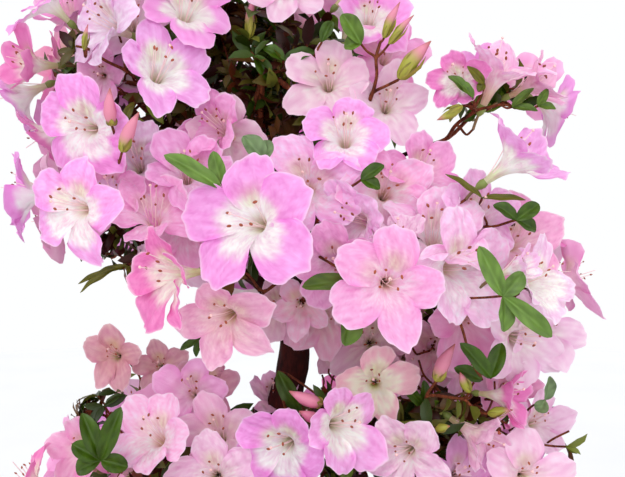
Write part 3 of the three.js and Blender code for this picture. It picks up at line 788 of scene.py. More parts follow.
# The buds that stand out: the pixels of the foot and of the tip, the width, the depth, and how much of
# the bud is green scales.
BUDS_SEEN = {
    "top_right": ((384, 38), (400, 2), 10, 490, 0.5),
    "top_right_second": ((389, 44), (414, 15), 8, 486, 0.6),
    "top_right_green": ((399, 79), (431, 41), 17, 488, 0.62),
    "upper_left_pink": ((112, 126), (110, 88), 13, 446, 0.1),
    "upper_left_salmon": ((122, 152), (139, 112), 14, 438, 0.3),
    "upper_left_green": ((84, 50), (88, 24), 6, 470, 0.7),
    "upper_middle": ((249, 38), (254, -4), 10, 520, 0.5),
    "trunk_pink": ((322, 404), (289, 391), 14, 470, 0.1),
    "trunk_second": ((321, 420), (299, 411), 12, 468, 0.2),
    "right_mauve": ((436, 381), (455, 344), 15, 478, 0.25),
    "right_yellow": ((470, 392), (460, 372), 10, 480, 0.7),
    "right_low_yellow": ((488, 414), (513, 410), 10, 484, 0.8),
    "spray_green": ((462, 106), (437, 120), 10, 478, 0.9),
    "lower_calyx": ((436, 430), (450, 426), 9, 482, 1.0),
}

# Bare twigs that stand out: the pixels along each with their depths. The first joins the nearest mass.
TWIGS_SEEN = {
    "buds": [((367, 103), 505), ((372, 94), 500), ((376, 80), 496), ((376, 60), 493), ((380, 43), 491)],
    "green_bud": [((374, 92), 500), ((386, 86), 494), ((398, 80), 489)],
    "upper_left": [((128, 72), 502), ((108, 62), 494), ((90, 50), 488), ((76, 46), 484)],
    "dark_inside": [((240, 128), 545), ((236, 90), 552), ((226, 52), 560), ((212, 14), 570)],
    "dark_inside_branch": [((238, 100), 550), ((256, 70), 540), ((262, 40), 532), ((276, 22), 528)],
}

# The bare twig that carries the right-hand spray, from the end of its bough.
SPRAY_TWIG = [
    ((455, 126), 512),
    ((474, 112), 496),
    ((498, 105), 488),
    ((520, 109), 486),
    ((548, 116), 484),
]


# The corolla's wall: its slope from the axis, in degrees, at lengths along it from the foot.
WALL_AT = [0, 12, 18, 25, 36, 50]
WALL_SLOPE = [5, 7, 30, 54, 72, 84]
PETAL = Named(
    length=50, notch=22, flat_from=40, half_width=13.4, overlap=1.08, rounding=13.5, foot=1.6,
    full_width=63, rim_from_tip=6,
)


# The wall's distance from the axis, its height and its slope, at lengths a millimetre apart. The slopes
# are evened out over some millimetres each way.
def wall_of(opening, evened=3):
    along = np.arange(0, 61.0)
    slope = np.interp(along, WALL_AT, WALL_SLOPE)
    width = 2 * evened + 1
    slope = np.convolve(np.pad(slope, evened, mode="edge"), np.ones(width) / width, mode="valid")
    tube = WALL_SLOPE[0]
    slope = np.radians(tube + (slope - tube) * opening)
    radius = PETAL.foot + np.concatenate([[0], np.cumsum(np.sin(slope))[:-1]])
    height = np.concatenate([[0], np.cumsum(np.cos(slope))[:-1]])
    return along, radius, height, slope


def rim_depth(opening):
    along, _, height, _ = wall_of(opening)
    return float(np.interp(PETAL.length - PETAL.rim_from_tip, along, height))


def linear(colour):
    share = np.asarray(colour, float) / 255
    return np.where(share <= 0.04045, share / 12.92, ((share + 0.055) / 1.055) ** 2.4)


# The kinds of bloom: the colours of the throat, the middle and the margin, where the margin starts along
# the petal, and how softly. Some are copies of the pink with light or shade painted in, for blooms in the
# crown's shade: a lighter copy that is painted light, a dusky one with a darker throat as painted shade and
# paler petals as painted light, and 'deep' and 'shaded', darker and greyer copies that are painted shade.
KINDS = {
    "margined": ((226, 220, 182), (252, 245, 243), (249, 168, 232), 0.46, 0.13),
    "violet": ((228, 222, 188), (251, 244, 244), (248, 178, 238), 0.47, 0.14),
    "rose": ((226, 218, 168), (250, 236, 232), (240, 138, 200), 0.44, 0.17),
    "pink": ((240, 206, 186), (251, 206, 230), (249, 180, 224), 0.35, 0.35),
    # A lighter copy of the pink: painted light for blooms in the crown's shade.
    "bright": ((240, 212, 186), (253, 222, 236), (253, 200, 238), 0.35, 0.35),
    "streaked": ((238, 216, 186), (253, 236, 242), (253, 208, 238), 0.42, 0.3),
    "salmon": ((226, 196, 154), (251, 210, 218), (250, 190, 218), 0.40, 0.35),
    "pale": ((226, 214, 178), (250, 229, 236), (248, 212, 233), 0.40, 0.35),
    # For blooms deep in the crown: a darker, greyer throat as painted shade and paler petals as painted
    # light.
    "dusky_painted_shade_and_light": ((206, 194, 146), (250, 212, 222), (250, 204, 228), 0.45, 0.30),
    # A darker, greyer copy of the pink: painted shade.
    "deep": ((206, 160, 168), (234, 176, 204), (238, 168, 208), 0.40, 0.35),
    "cream": ((206, 204, 110), (255, 250, 232), (252, 198, 212), 0.66, 0.14),
    "white": ((228, 224, 184), (252, 248, 242), (248, 212, 238), 0.74, 0.14),
    # A darker, greyer copy of the pink for blooms in shade: painted shade.
    "shaded": ((176, 164, 112), (224, 168, 180), (222, 166, 184), 0.45, 0.30),
}
# How wide the petals are beside the plain ones, and how pointed, for the kinds that differ.
PETAL_SHAPES = {
    "salmon": (0.86, 4.5),
    "dusky_painted_shade_and_light": (1.0, 4.5),
    "shaded": (1.0, 4.5),
    "white": (0.86, 1.2),
    "margined": (1.13, 0.2),
    "violet": (1.0, 2.2),
}
PLAIN_PETAL = (1, 1.2)
KIND_SHARES = {"pink": 0.3, "margined": 0.17, "pale": 0.2, "violet": 0.1, "salmon": 0.1, "rose": 0.13}
BLOTCH = (204, 196, 112)
# The colour of the painted highlight along the petals' edges.
PAINTED_RIM_HIGHLIGHT = (255, 238, 248)


class Bloom:
    def __init__(self, rim, axes, width, opening, kind, cells, seed):
        self.axes = axes
        self.scale = width / PETAL.full_width
        self.opening = opening
        self.kind = kind
        self.cells = cells
        self.random = np.random.default_rng(seed)
        self.rim = rim
        self.radius = width / 2
        self.foot = rim - axes[2] * rim_depth(opening) * self.scale
        self.bends = self.stretches = self.anthers = None

    # Turns and stretches the petals, so that their tips are seen at these pixels.
    def reach_for(self, tips, most_bend=0.5, stretch=(0.72, 1.3)):
        wall, radius, height, _ = wall_of(self.opening)
        far, high = (float(np.interp(PETAL.length, wall, w)) * self.scale for w in (radius, height))
        top = self.foot + self.axes[2] * high
        rays = np.array([place_of(tip, 1.0) for tip in tips]) - CAMERA_AT
        runs = ((top - CAMERA_AT) @ self.axes[2]) / (rays @ self.axes[2])
        local = (CAMERA_AT + runs[:, None] * rays - top) @ self.axes[:2].T
        turns = np.arctan2(local[:, 1], local[:, 0])
        order = np.argsort(turns)
        evenly = tau * np.arange(PETALS) / PETALS
        first = float(np.mean(turns[order] - evenly))
        self.bends = (turns[order] - evenly - first).clip(-most_bend, most_bend)
        self.stretches = (norm(local, axis=1)[order] / far).clip(*stretch)
        x, y, z = self.axes
        turned = x * cos(first) + y * sin(first)
        self.axes = np.array([turned, np.cross(z, turned), z])

    # The bloom's own coordinates of what is seen at pixels, at these heights over its foot.
    def seen_at(self, pixels, heights):
        rays = np.array([place_of(pixel, 1.0) for pixel in pixels]) - CAMERA_AT
        away = heights * self.scale + (self.foot - CAMERA_AT) @ self.axes[2]
        runs = away / (rays @ self.axes[2])
        return (CAMERA_AT + runs[:, None] * rays - self.foot) @ self.axes.T / self.scale

    def outer_points(self):
        turns = np.radians(np.arange(0, 360, 45))
        flat = np.stack([np.cos(turns), np.sin(turns), 0 * turns], axis=1) * self.radius * 0.95
        return np.concatenate([[self.rim, self.foot], self.rim + flat @ self.axes])


# The axes of a bloom that faces a way, with one petal at a turn in the picture.
def axes_seen(faces, petal_turn):
    right, up = faces
    frontal = math.sqrt(max(1 - right * right - up * up, 0.02))
    z = unit([right, -frontal, up])
    turn = radians(petal_turn)
    petal = np.array([cos(turn), 0, sin(turn)])
    x = unit(petal - (petal @ z) * z)
    return np.array([x, np.cross(z, x), z])


# Collects points, faces and colours of many small shapes, for one joined mesh.
class Heap:
    def __init__(self):
        self.points, self.tints, self.maps, self.quads, self.count = [], [], [], [], 0

    def add(self, points, quads, tint, uv=None):
        count = len(points)
        self.points.append(points)
        self.quads.append(quads + self.count)
        self.tints.append(np.broadcast_to(tint, (count, 3)))
        self.maps.append(np.zeros((count, 2)) if uv is None else uv)
        self.count += count


def points_mesh(name, points):
    mesh = bpy.data.meshes.new(name)
    mesh.vertices.add(len(points))
    mesh.vertices.foreach_set("co", (np.array(points) * MM).astype(np.float32).ravel())
    return mesh


# Gives each point of a mesh a colour of its own, which the looks read as its tint.
def tint_points(layers, tints):
    colours = np.concatenate([np.array(tints), np.ones((len(tints), 1))], axis=1)
    layers.new("tint", "FLOAT_COLOR", "POINT").data.foreach_set("color", colours.astype(np.float32).ravel())


def set_smooth(mesh, smooth=True):
    mesh.polygons.foreach_set("use_smooth", np.full(len(mesh.polygons), smooth))


# The plain mesh of an object as its modifiers make it.
def evaluated_mesh(made):
    return bpy.data.meshes.new_from_object(made.evaluated_get(bpy.context.evaluated_depsgraph_get()))


def mesh_from(name, points, quads, tints=None, uv=None):
    mesh = points_mesh(name, points)
    mesh.loops.add(quads.size)
    mesh.loops.foreach_set("vertex_index", quads.astype(np.int32).ravel())
    mesh.polygons.add(len(quads))
    mesh.polygons.foreach_set("loop_start", np.arange(0, quads.size, 4, dtype=np.int32))
    set_smooth(mesh)
    mesh.update(calc_edges=True)
    if tints is not None:
        tint_points(mesh.color_attributes, tints)
    if uv is not None:
        layer = mesh.uv_layers.new(name="way")
        layer.data.foreach_set("uv", uv[quads.ravel()].astype(np.float32).ravel())
    return mesh


def new_object(name, mesh):
    made = bpy.data.objects.new(name, mesh)
    bpy.context.scene.collection.objects.link(made)
    return made


def settle(piece, nodes=()):
    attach(piece, BODY)
    if nodes:
        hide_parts(*nodes)
    return piece


def heap_piece(name, heap, look, nodes=()):
    points = np.concatenate(heap.points)
    quads = np.concatenate(heap.quads)
    mesh = mesh_from(name, points, quads, np.concatenate(heap.tints), np.concatenate(heap.maps))
    mesh.materials.append(look)
    return settle(new_object(name, mesh), nodes)


# The faces between the points of a grid.
def grid_faces(index):
    corners = [index[..., :-1, :-1], index[..., :-1, 1:], index[..., 1:, 1:], index[..., 1:, :-1]]
    return np.stack(corners, axis=-1).reshape(-1, 4)


# The points and faces of one bloom's petals. Neighbouring petals share their edges below the notch.
@functools.lru_cache(maxsize=None)
def petal_faces(across, along, tube_rows):
    index = np.arange(PETALS * (along + 1) * (across + 1)).reshape(PETALS, along + 1, across + 1)
    for k in range(PETALS):
        index[k, : tube_rows + 1, across] = index[(k + 1) % PETALS, : tube_rows + 1, 0]
    used, faces = np.unique(grid_faces(index), return_inverse=True)
    return used, faces.reshape(-1, 4)


# A soft unevenness over each petal: waves across and along it, of paces from low to high.
def crinkle(random, t, s, low, high, waves=5):
    total = 0.0
    for _ in range(waves):
        way = tau * random.random((PETALS, 1, 1))
        pace = low + (high - low) * random.random((PETALS, 1, 1))
        start = tau * random.random((PETALS, 1, 1))
        total = total + np.cos(pace * (t * np.cos(way) + s * np.sin(way)) + start)
    return total / 2.2


# The waves of a petal's rim: their height in millimetres, their pace, and which start they take.
RIM_WAVES = [(0.9, 3.4, 4), (0.6, 9, 5), (0.3, 16, 3)]

# How far a petal's surface is raised or moved, and how widely that differs from petal to petal: the
# tilt and the twist in degrees and shares, and the rest in millimetres.
RELIEF = Named(
    tilt=9.0, tilted_run=26, overlap=1.5, twist=0.17, droop=(2.4, -1.4), cup=(0.09, 0.05), ruffle=2.7,
    ruffle_pace=(1.5, 7.5), roll=1.3, midrib=1.1, veins=0.3, folds=0.5, crinkles=0.14, aside=4.2,
)


# A number for each of a bloom's petals, spread about a middle.
def of_petals(random, spread, middle=0.0):
    return middle + spread * random.standard_normal((PETALS, 1, 1)).clip(-1.6, 1.6)


# Where each petal ends, along its length: rounded, more or less pointed, and waved.
def petal_ends(bloom, u, wave):
    length = PETAL.length * (of_petals(bloom.random, 0.05, 1) if bloom.bends is None else 1)
    point = of_petals(bloom.random, 1.0, PETAL_SHAPES.get(bloom.kind, PLAIN_PETAL)[1])
    end = length - point * np.abs(u) - PETAL.rounding * (1 - np.sqrt(1 - (0.985 * u) ** 2))
    for height, pace, start in RIM_WAVES:
        end = end + height * np.sin(pace * u + wave[start])
    return end


# Half the petals' width at lengths s: a share of the tube up to the notch, then a petal's own.
def petal_half_width(bloom, radius, s, past, wave):
    sector = pi / PETALS
    touching = radius * math.tan(sector) * PETAL.overlap
    wide = PETAL.half_width * of_petals(bloom.random, 0.07, 1) * (1 + 0.035 * np.sin(8 * past + wave[0]))
    wide = wide * PETAL_SHAPES.get(bloom.kind, PLAIN_PETAL)[0]
    both = -np.log(np.exp(-0.6 * touching) + np.exp(-0.6 * wide)) / 0.6
    notch = PETAL.notch
    return radius * sector + (both - radius * sector) * smooth_step(notch, notch + 5, s)


# How far the petals' surface is raised inwards, from the notch on to the rim.
def petal_lift(random, u, t, s, past, wave):
    tilt = np.tan(np.radians(of_petals(random, RELIEF.tilt)))
    lift = tilt * RELIEF.tilted_run * past**1.3 + RELIEF.overlap * u * smooth_step(0, 0.35, past)
    lift = lift + of_petals(random, RELIEF.twist) * t * past
    lift = lift + of_petals(random, *RELIEF.droop) * past**3
    lift = lift + of_petals(random, *RELIEF.cup) * np.abs(t) * past
    pace = of_petals(random, *RELIEF.ruffle_pace)
    lift = lift + RELIEF.ruffle * np.abs(u) ** 2 * past * np.sin(pace * past + wave[1] + np.sign(u))
    lift = lift + RELIEF.roll * past**3 * np.sin(4.2 * u + wave[2])
    midrib = np.exp(-((u / 0.15) ** 2))
    lift = lift - RELIEF.midrib * midrib * smooth_step(0, 0.3, past) * (1 - 0.8 * past)
    lift = lift + RELIEF.veins * np.cos(u * 17 + 0.6 * wave[3]) * past * (1 - 0.6 * past)
    lift = lift + RELIEF.folds * crinkle(random, t, s, 0.5, 1.1) * smooth_step(0, 0.25, past)
    fine = crinkle(random, 1.6 * t, 0.8 * s, 1.0, 1.8)
    return lift + RELIEF.crinkles * fine * smooth_step(0, 0.2, past)


# Points turned about the z axis.
def spun(points, turn):
    ahead, aside = np.cos(turn), np.sin(turn)
    across = points[..., 0] * ahead - points[..., 1] * aside
    along = points[..., 0] * aside + points[..., 1] * ahead
    return np.stack([across, along, points[..., 2]], axis=-1)


# One bloom's five petals, joined as a tube below. Each widens past the notch, overlaps its neighbour,
# and has a rounded and ruffled rim of its own. Across a petal u goes from -1 to 1 and t in millimetres;
# along it s is the length from the foot, and past the share of the free petal.
def corolla(bloom):
    across, along = bloom.cells
    tube_rows = max(2, round(along * 0.36))
    random = bloom.random
    notch = PETAL.notch
    u = np.linspace(-1, 1, across + 1)[None, None, :]
    row = np.arange(along + 1)[None, :, None]
    wave = random.random((6, PETALS, 1, 1)) * tau
    end = petal_ends(bloom, u, wave)
    tube_share = np.minimum(row / tube_rows, 1)
    petal_share = np.maximum(row - tube_rows, 0) / (along - tube_rows)
    s = notch * (0.08 + 0.92 * tube_share) + petal_share * (end - notch)
    wall, *walls = wall_of(bloom.opening)
    radius, height, slope = (np.interp(s, wall, w) for w in walls)
    past = np.maximum(s - notch, 0) / (PETAL.length - notch)
    t = u * petal_half_width(bloom, radius, s, past, wave)
    angle = t / np.maximum(radius, 0.5)
    cone = np.stack([radius * np.cos(angle), radius * np.sin(angle), height], axis=-1)
    flatness = 1 - 0.72 * smooth_step(notch, PETAL.flat_from, s)
    cup = 0.5 * t**2 / np.maximum(radius * 1.15, 1) * flatness
    inward = np.stack([-np.cos(slope), 0 * slope, np.sin(slope)], axis=-1)
    middle = np.stack([radius, 0 * radius, height], axis=-1)
    aside = np.array([0.0, 1.0, 0.0])
    flat = middle + t[..., None] * aside + cup[..., None] * inward
    free = smooth_step(notch, notch + 7, s)[..., None]
    points = cone + free * (flat - cone)

    lift = petal_lift(random, u, t, s, past, wave)
    side = of_petals(random, RELIEF.aside) * past**1.2
    turn = (tau * np.arange(PETALS) / PETALS)[:, None, None]
    if bloom.bends is not None:
        lift, side = 0.75 * lift, 0.2 * side
        turn = turn + bloom.bends[:, None, None] * smooth_step(0, 0.8, past)
    points = points + (lift[..., None] * inward + side[..., None] * aside)
    if bloom.stretches is not None:
        stretch = 1 + (bloom.stretches[:, None, None] - 1) * past
        points[..., 0] *= stretch
        points[..., 1] *= np.maximum(stretch, 1) ** 0.6
    tint = petal_tint(bloom, u, t, s, past, end - s, wave)
    used, quads = petal_faces(across, along, tube_rows)
    places = bloom.foot + (spun(points, turn).reshape(-1, 3)[used] * bloom.scale) @ bloom.axes
    uv = np.stack(np.broadcast_arrays(u * 0.5 + 0.5 + np.arange(PETALS)[:, None, None], s / 50), axis=-1)
    return places, quads, tint.reshape(-1, 3)[used], uv.reshape(-1, 2)[used]


# How the petals' colours vary: from bloom to bloom, from petal to petal, with the way that a petal faces,
# in streaks and along the edges; then how far along the petal each tone reaches, and how strong it is. The
# rim entries are for the painted highlight along the petals' edges.
TINTING = Named(
    by_bloom=0.03, by_petal=0.06, facing_up=0.09, fine_streaks=0.022, streaks=0.03, edge_reach=0.28,
    margin_from=(0.08, 0.36), throat_to=(9, 23), flush=(0.02, 0.22, 0.05), blotch=0.4, blotch_width=0.62,
    clouds=0.045, fine_clouds=0.06, grain=0.045, veins=0.09, shade_of_colours=(0.5, 1.6, 0.8),
    rim=(0.2, 1.6), rim_strength=(0.08, 0.6),
)


# Moves some colours towards another by a share of the way.
def toward(colour, other, share):
    return colour + share * (other - colour)


# The petals' colours: throat, middle and margin, with the margin drawn in streaks along the veins, a
# yellowish blotch on the upper petal, and a thin pale rim that is a painted highlight along the edges.
def petal_tint(bloom, u, t, s, past, to_rim, wave):
    throat, middle, margin, start, softness = KINDS[bloom.kind]
    random = bloom.random
    shift = 1 + TINTING.by_bloom * random.standard_normal(3)
    turn = tau * np.arange(PETALS) / PETALS
    upward = np.cos(turn) * bloom.axes[0][2] + np.sin(turn) * bloom.axes[1][2]
    own = TINTING.by_petal * random.standard_normal((PETALS, 1, 1))
    own = own - TINTING.facing_up * upward[:, None, None]
    streak = TINTING.fine_streaks * np.cos(u * 21 + wave[3]) + TINTING.streaks * np.sin(u * 7 + wave[0])
    reach = start + own - TINTING.edge_reach * u**2 + streak
    share = smooth_step(reach - softness, reach + softness, past)[..., None]
    share = share * smooth_step(*TINTING.margin_from, past)[..., None]
    deep = (1 - smooth_step(*TINTING.throat_to, s + 0 * u))[..., None]
    colour = toward(toward(linear(middle), linear(margin), share), linear(throat), deep)
    edge = np.abs(u) ** 3 * smooth_step(0.12, 0.3, past)
    flush = share * (edge * (1 - smooth_step(0.35, 0.75, past)))[..., None]
    colour = colour * (1 - flush * np.array(TINTING.flush))
    high = np.clip(upward * 1.2, 0, 1)[:, None, None] ** 2
    patch = np.exp(-((u / TINTING.blotch_width) ** 2)) * smooth_step(0.0, 0.12, past)
    patch = patch * (1 - smooth_step(0.25, 0.6, past))
    colour = toward(colour, linear(BLOTCH), (TINTING.blotch * high * patch)[..., None])
    vein = 0.5 + 0.5 * np.cos(u * 24 + wave[1])
    cloud = TINTING.clouds * crinkle(random, t, s, 0.3, 1.0)
    cloud = cloud + TINTING.fine_clouds * crinkle(random, t, 0.25 * s, 1.0, 2.3)
    roughness = np.interp(bloom.cells[0], [8, 18], [0, TINTING.grain])
    grain = roughness * random.standard_normal(cloud.shape).clip(-2, 2)
    shade = 1 + cloud + grain - TINTING.veins * vein * smooth_step(0, 0.2, past) * (1 - 0.8 * past)
    colour = colour * shade[..., None] ** np.array(TINTING.shade_of_colours)
    # A painted highlight: the last millimetre or two towards each petal's edge is drawn paler, more so on
    # finely made blooms.
    rim = (1 - smooth_step(*TINTING.rim, to_rim + 0 * u))[..., None] * (past > 0.2)[..., None]
    strength = np.interp(bloom.cells[0], [5, 18], TINTING.rim_strength)
    return (toward(colour, linear(PAINTED_RIM_HIGHLIGHT), strength * rim) * shift).clip(0, 0.97)


# Tubes along many paths of the same number of points, as joined points and faces.
def tubes(paths, radii, sides):
    count, rings = paths.shape[:2]
    ahead = unit(np.gradient(paths, axis=1))
    overall = unit(paths[:, -1] - paths[:, 0])
    least = np.eye(3)[np.argmin(np.abs(overall), axis=1)]
    side = unit(np.cross(ahead, least[:, None]))
    up = np.cross(side, ahead)
    turns = tau * np.arange(sides) / sides
    around = np.cos(turns)[:, None] * side[:, :, None] + np.sin(turns)[:, None] * up[:, :, None]
    points = paths[:, :, None] + around * radii[:, :, None, None]
    index = np.arange(count * rings * sides).reshape(count, rings, sides)
    beside = np.roll(index, -1, axis=2)
    quads = np.stack([index[:, :-1], index[:, 1:], beside[:, 1:], beside[:, :-1]], axis=-1)
    return points.reshape(-1, 3), quads.reshape(-1, 4)


# The sizes of what stands in and under a bloom, in millimetres at full size.
FILAMENTS = 5
STAMEN = Named(foot=1.2, start=6.0, length=33, longer=5, style=44, near=0.36, far=0.42)
ANTHER_SIZE = Named(half_length=1.35, radius=0.78)
STYLE_KNOB = ([-0.8, 0.8], [0.3, 0.95, 0.95, 0.2])
CALYX = ([-1.5, 0.5, 3.0, 5.5], [1.2, 2.4, 2.9, 2.2])
STALK_RADII = ([0, 0.8, 1], [1.0, 0.9, 1.5])
FILAMENT = linear((248, 218, 218))
ANTHER = linear((150, 70, 40))
STYLE = linear((250, 205, 200))
SEPAL = linear((126, 142, 66))
STALK = linear((120, 96, 58))
BUD_SWELL = ([0, 0.12, 0.35, 0.6, 0.85, 1], [0.3, 0.75, 1, 0.82, 0.38, 0.06])
BUD_COLOURS = [(150, 150, 48), (206, 124, 148), (160, 84, 70)]
BUD_SCALES = 6
SCALE_GREEN = (150, 142, 50)


# Five filaments with their anthers and one longer style, which bend up as they leave the throat.
def stamens(bloom, heap, fine):
    random = bloom.random
    count = FILAMENTS + 1
    up = bloom.axes @ np.array([0, 0, 1.0])
    rise = unit([up[0], up[1], 0]) if np.hypot(up[0], up[1]) > 0.15 else np.zeros(3)
    turns = tau * (np.arange(count) / FILAMENTS + 0.1 * random.random(count))
    apart = np.stack([np.cos(turns), np.sin(turns), 0 * turns], axis=1)
    spread = (4.5 + 3.5 * random.random((count, 1))) * (0.55 + 0.5 * bloom.opening)
    length = STAMEN.length + STAMEN.longer * random.random((count, 1))
    spread[-1], length[-1] = 1.0, STAMEN.style
    start = apart * STAMEN.foot + np.array([0, 0, STAMEN.start])
    bend = rise * (5 + 3 * random.random((count, 1)))
    end = apart * spread + bend + np.array([0, 0, 1.0]) * length
    if bloom.anthers:
        end[:-1] = bloom.seen_at(bloom.anthers, length[:-1, 0])
        end[-1, :2] = end[:-1, :2].mean(axis=0) * 1.15
        rise = unit([end[-1, 0], end[-1, 1], 0])
    middle = (start + end) / 2 - rise * 1.6
    rings = 7 if fine else 3
    t = np.linspace(0, 1, rings)[None, :, None]
    paths = bent(start[:, None], middle[:, None], end[:, None], t)
    paths = bloom.foot + paths * bloom.scale @ bloom.axes
    thickness = STAMEN.near if fine else STAMEN.far
    radii = np.broadcast_to(thickness * (1 - 0.3 * t[..., 0]), (count, rings))
    heap.add(*tubes(paths, radii, 4 if fine else 3), FILAMENT)
    ahead = unit(paths[:-1, -1] - paths[:-1, -2])
    lean = unit(ahead + 0.9 * random.standard_normal((FILAMENTS, 3)))
    steps = np.linspace(-1, 1, 5 if fine else 3)
    along = lean[:, None] * steps[None, :, None] * ANTHER_SIZE.half_length * bloom.scale
    swell = np.sqrt(np.maximum(1 - steps**2, 0.03)) * ANTHER_SIZE.radius * bloom.scale
    swell = np.broadcast_to(swell, (FILAMENTS, len(steps)))
    shade = 0.75 + 0.5 * random.random()
    heap.add(*tubes(paths[:-1, -1][:, None] + along, swell, 6 if fine else 4), ANTHER * shade)
    if fine:
        ends, widths = STYLE_KNOB
        knob = paths[-1:, -1][:, None] + bloom.axes[2] * np.linspace(*ends, len(widths))[None, :, None]
        heap.add(*tubes(knob, np.array([widths]), 6), STYLE)


# The calyx at the bloom's foot and the stalk down to the shoot's head.
def stalk(bloom, head, heap, fine):
    axis = bloom.axes[2]
    t = np.linspace(0, 1, 6 if fine else 4)[:, None]
    back = bloom.foot - axis * norm(bloom.foot - head) * 0.5
    path = bent(head, back, bloom.foot, t)
    shade = 0.8 + 0.4 * bloom.random.random()
    heap.add(*tubes(path[None], np.interp(t[:, 0], *STALK_RADII)[None], 6 if fine else 4), STALK * shade)
    heights, widths = (np.array(row) for row in CALYX)
    cup = bloom.foot + axis * heights[:, None] * bloom.scale
    heap.add(*tubes(cup[None], (widths * bloom.scale)[None], 10 if fine else 5), SEPAL * shade)


# A bud: a spindle with a twist of furled petals above and green scales round its foot.
def bud(foot, tip, width, green, random, heap, rings=11, sides=12):
    share = np.linspace(0, 1, rings)
    bow = np.cross(unit(tip - foot), [0, 1, 0]) * norm(tip - foot) * 0.04
    path = foot + share[:, None] * (tip - foot) + np.sin(share * pi)[:, None] * bow
    points, quads = tubes(path[None], (np.interp(share, *BUD_SWELL) * width / 2)[None], sides)
    ring = np.repeat(share, sides)
    turns = np.tile(np.arange(sides), rings) * tau / sides
    twist = 1 + 0.07 * np.cos(PETALS * (turns + 2.5 * ring))
    centre = np.repeat(path, sides, axis=0)
    points = centre + (points - centre) * twist[:, None]
    low, high, end = (linear(colour) for colour in BUD_COLOURS)
    colour = toward(low, high, smooth_step(green - 0.22, green + 0.15, ring)[:, None])
    colour = toward(colour, end, smooth_step(0.78, 1.0, ring)[:, None])
    heap.add(points, quads, colour * (0.9 + 0.2 * random.random()))
    across, up, ahead = axes_at(tip - foot)
    length = norm(tip - foot) * min(green + 0.1, 0.7)
    for k in range(BUD_SCALES):
        turn = tau * (k / BUD_SCALES + 0.04 * random.random())
        out = across * cos(turn) + up * sin(turn)
        base = foot + out * width * 0.1
        reach = length * (0.7 if k % 2 else 1.0)
        end_at = foot + ahead * reach + out * width * 0.4
        shade = linear(SCALE_GREEN) * (0.6 + 0.5 * random.random())
        add_blade(heap, base, end_at, out, width * 0.5, 0.1, (4, 6), shade, pointed=1.4)


# A leaf or scale: a blade of its own outline, arched and folded along its middle.
def add_blade(heap, base, tip, faces, width, arching, cells, tint, pointed=1.0, fold=0.16):
    across, along = cells
    length = norm(tip - base)
    ahead = (tip - base) / length
    over = unit(faces - (faces @ ahead) * ahead)
    aside = np.cross(ahead, over)
    v = np.linspace(0, 1, along + 1)[:, None]
    u = np.linspace(-1, 1, across + 1)[None, :]
    outline = np.sin(pi * v ** (1.1 - 0.2 * pointed)) ** (0.62 * pointed**0.4)
    outline = outline * (1 - 0.25 * (pointed - 1) * v)
    outline = np.maximum(outline, 0.045 + 0.03 * (v < 0.1))
    half = width / 2 * outline
    x = u * half
    lift = arching * length * np.sin(pi * v) + np.abs(u) * half * fold * 2
    lift = lift - 0.05 * half * np.cos(u * pi * 2) + 0.03 * length * np.sin(v * 11) * np.abs(u) * outline
    points = base + x[..., None] * aside + (v * length)[..., None] * ahead + lift[..., None] * over
    quads = grid_faces(np.arange((along + 1) * (across + 1)).reshape(along + 1, across + 1))
    uv = np.stack(np.broadcast_arrays(u * 0.5 + 0.5, v), axis=-1)
    own = float(base @ np.array([1.3, 2.1, 0.7]))
    # The blade's tone: side veins and a paler midrib; one half lighter and the other darker across the fold,
    # which is painted light and shade; and blotches that are partly uneven colour and partly painted sheen.
    shade = 1 + 0.2 * np.sin(26 * v - 7 * np.abs(u)) * np.abs(u) * (1 - 0.5 * np.abs(u))
    shade = shade + 0.5 * np.exp(-((u / 0.13) ** 2)) * (1 - v) + 0.18 * u * cos(own)
    shade = shade + 0.13 * np.sin(9 * v + 3 * u + own) + 0.09 * np.sin(17 * v - 6 * u + 2 * own)
    tints = np.asarray(tint) * shade[..., None]
    heap.add(points.reshape(-1, 3), quads, tints.reshape(-1, 3), uv.reshape(-1, 2))


LEAF_GREENS = [(72, 106, 22), (54, 86, 12), (92, 124, 30), (44, 70, 10), (110, 126, 34), (96, 96, 26)]
# Brown and olive leaves for the crown's inside: partly the colour of old leaves, and partly darkened as
# painted shade.
INNER_LEAVES_WITH_PAINTED_SHADE = [
    (66, 26, 14), (84, 74, 24), (48, 16, 8), (54, 76, 18), (96, 66, 26), (40, 58, 10), (104, 112, 40),
    (100, 46, 22),
]
# The tones of the leaves that stand out: 'sunlit' is a lighter copy that is painted light, and 'deep' a
# darker one that is painted shade.
LEAF_TONES = {
    "sunlit": (96, 126, 54),
    "fresh": (84, 112, 36),
    "deep": (56, 82, 10),
    "grey": (106, 130, 86),
    "olive": (96, 94, 22),
}


# The height above which the long spray's limb bears shoots, and what a shoot below it costs there.
SPRAY_FROM = 535
SPRAY_SHUNNED = 90

# The cup of a bloom that twigs and leaves keep out of, in millimetres.
CUP = Named(throat=3, rim=2, depth=28, behind=29, before=12, curve=2.2)

# The bare stalk between a bloom's foot and its shoot's head.
BARE_STALK = 9


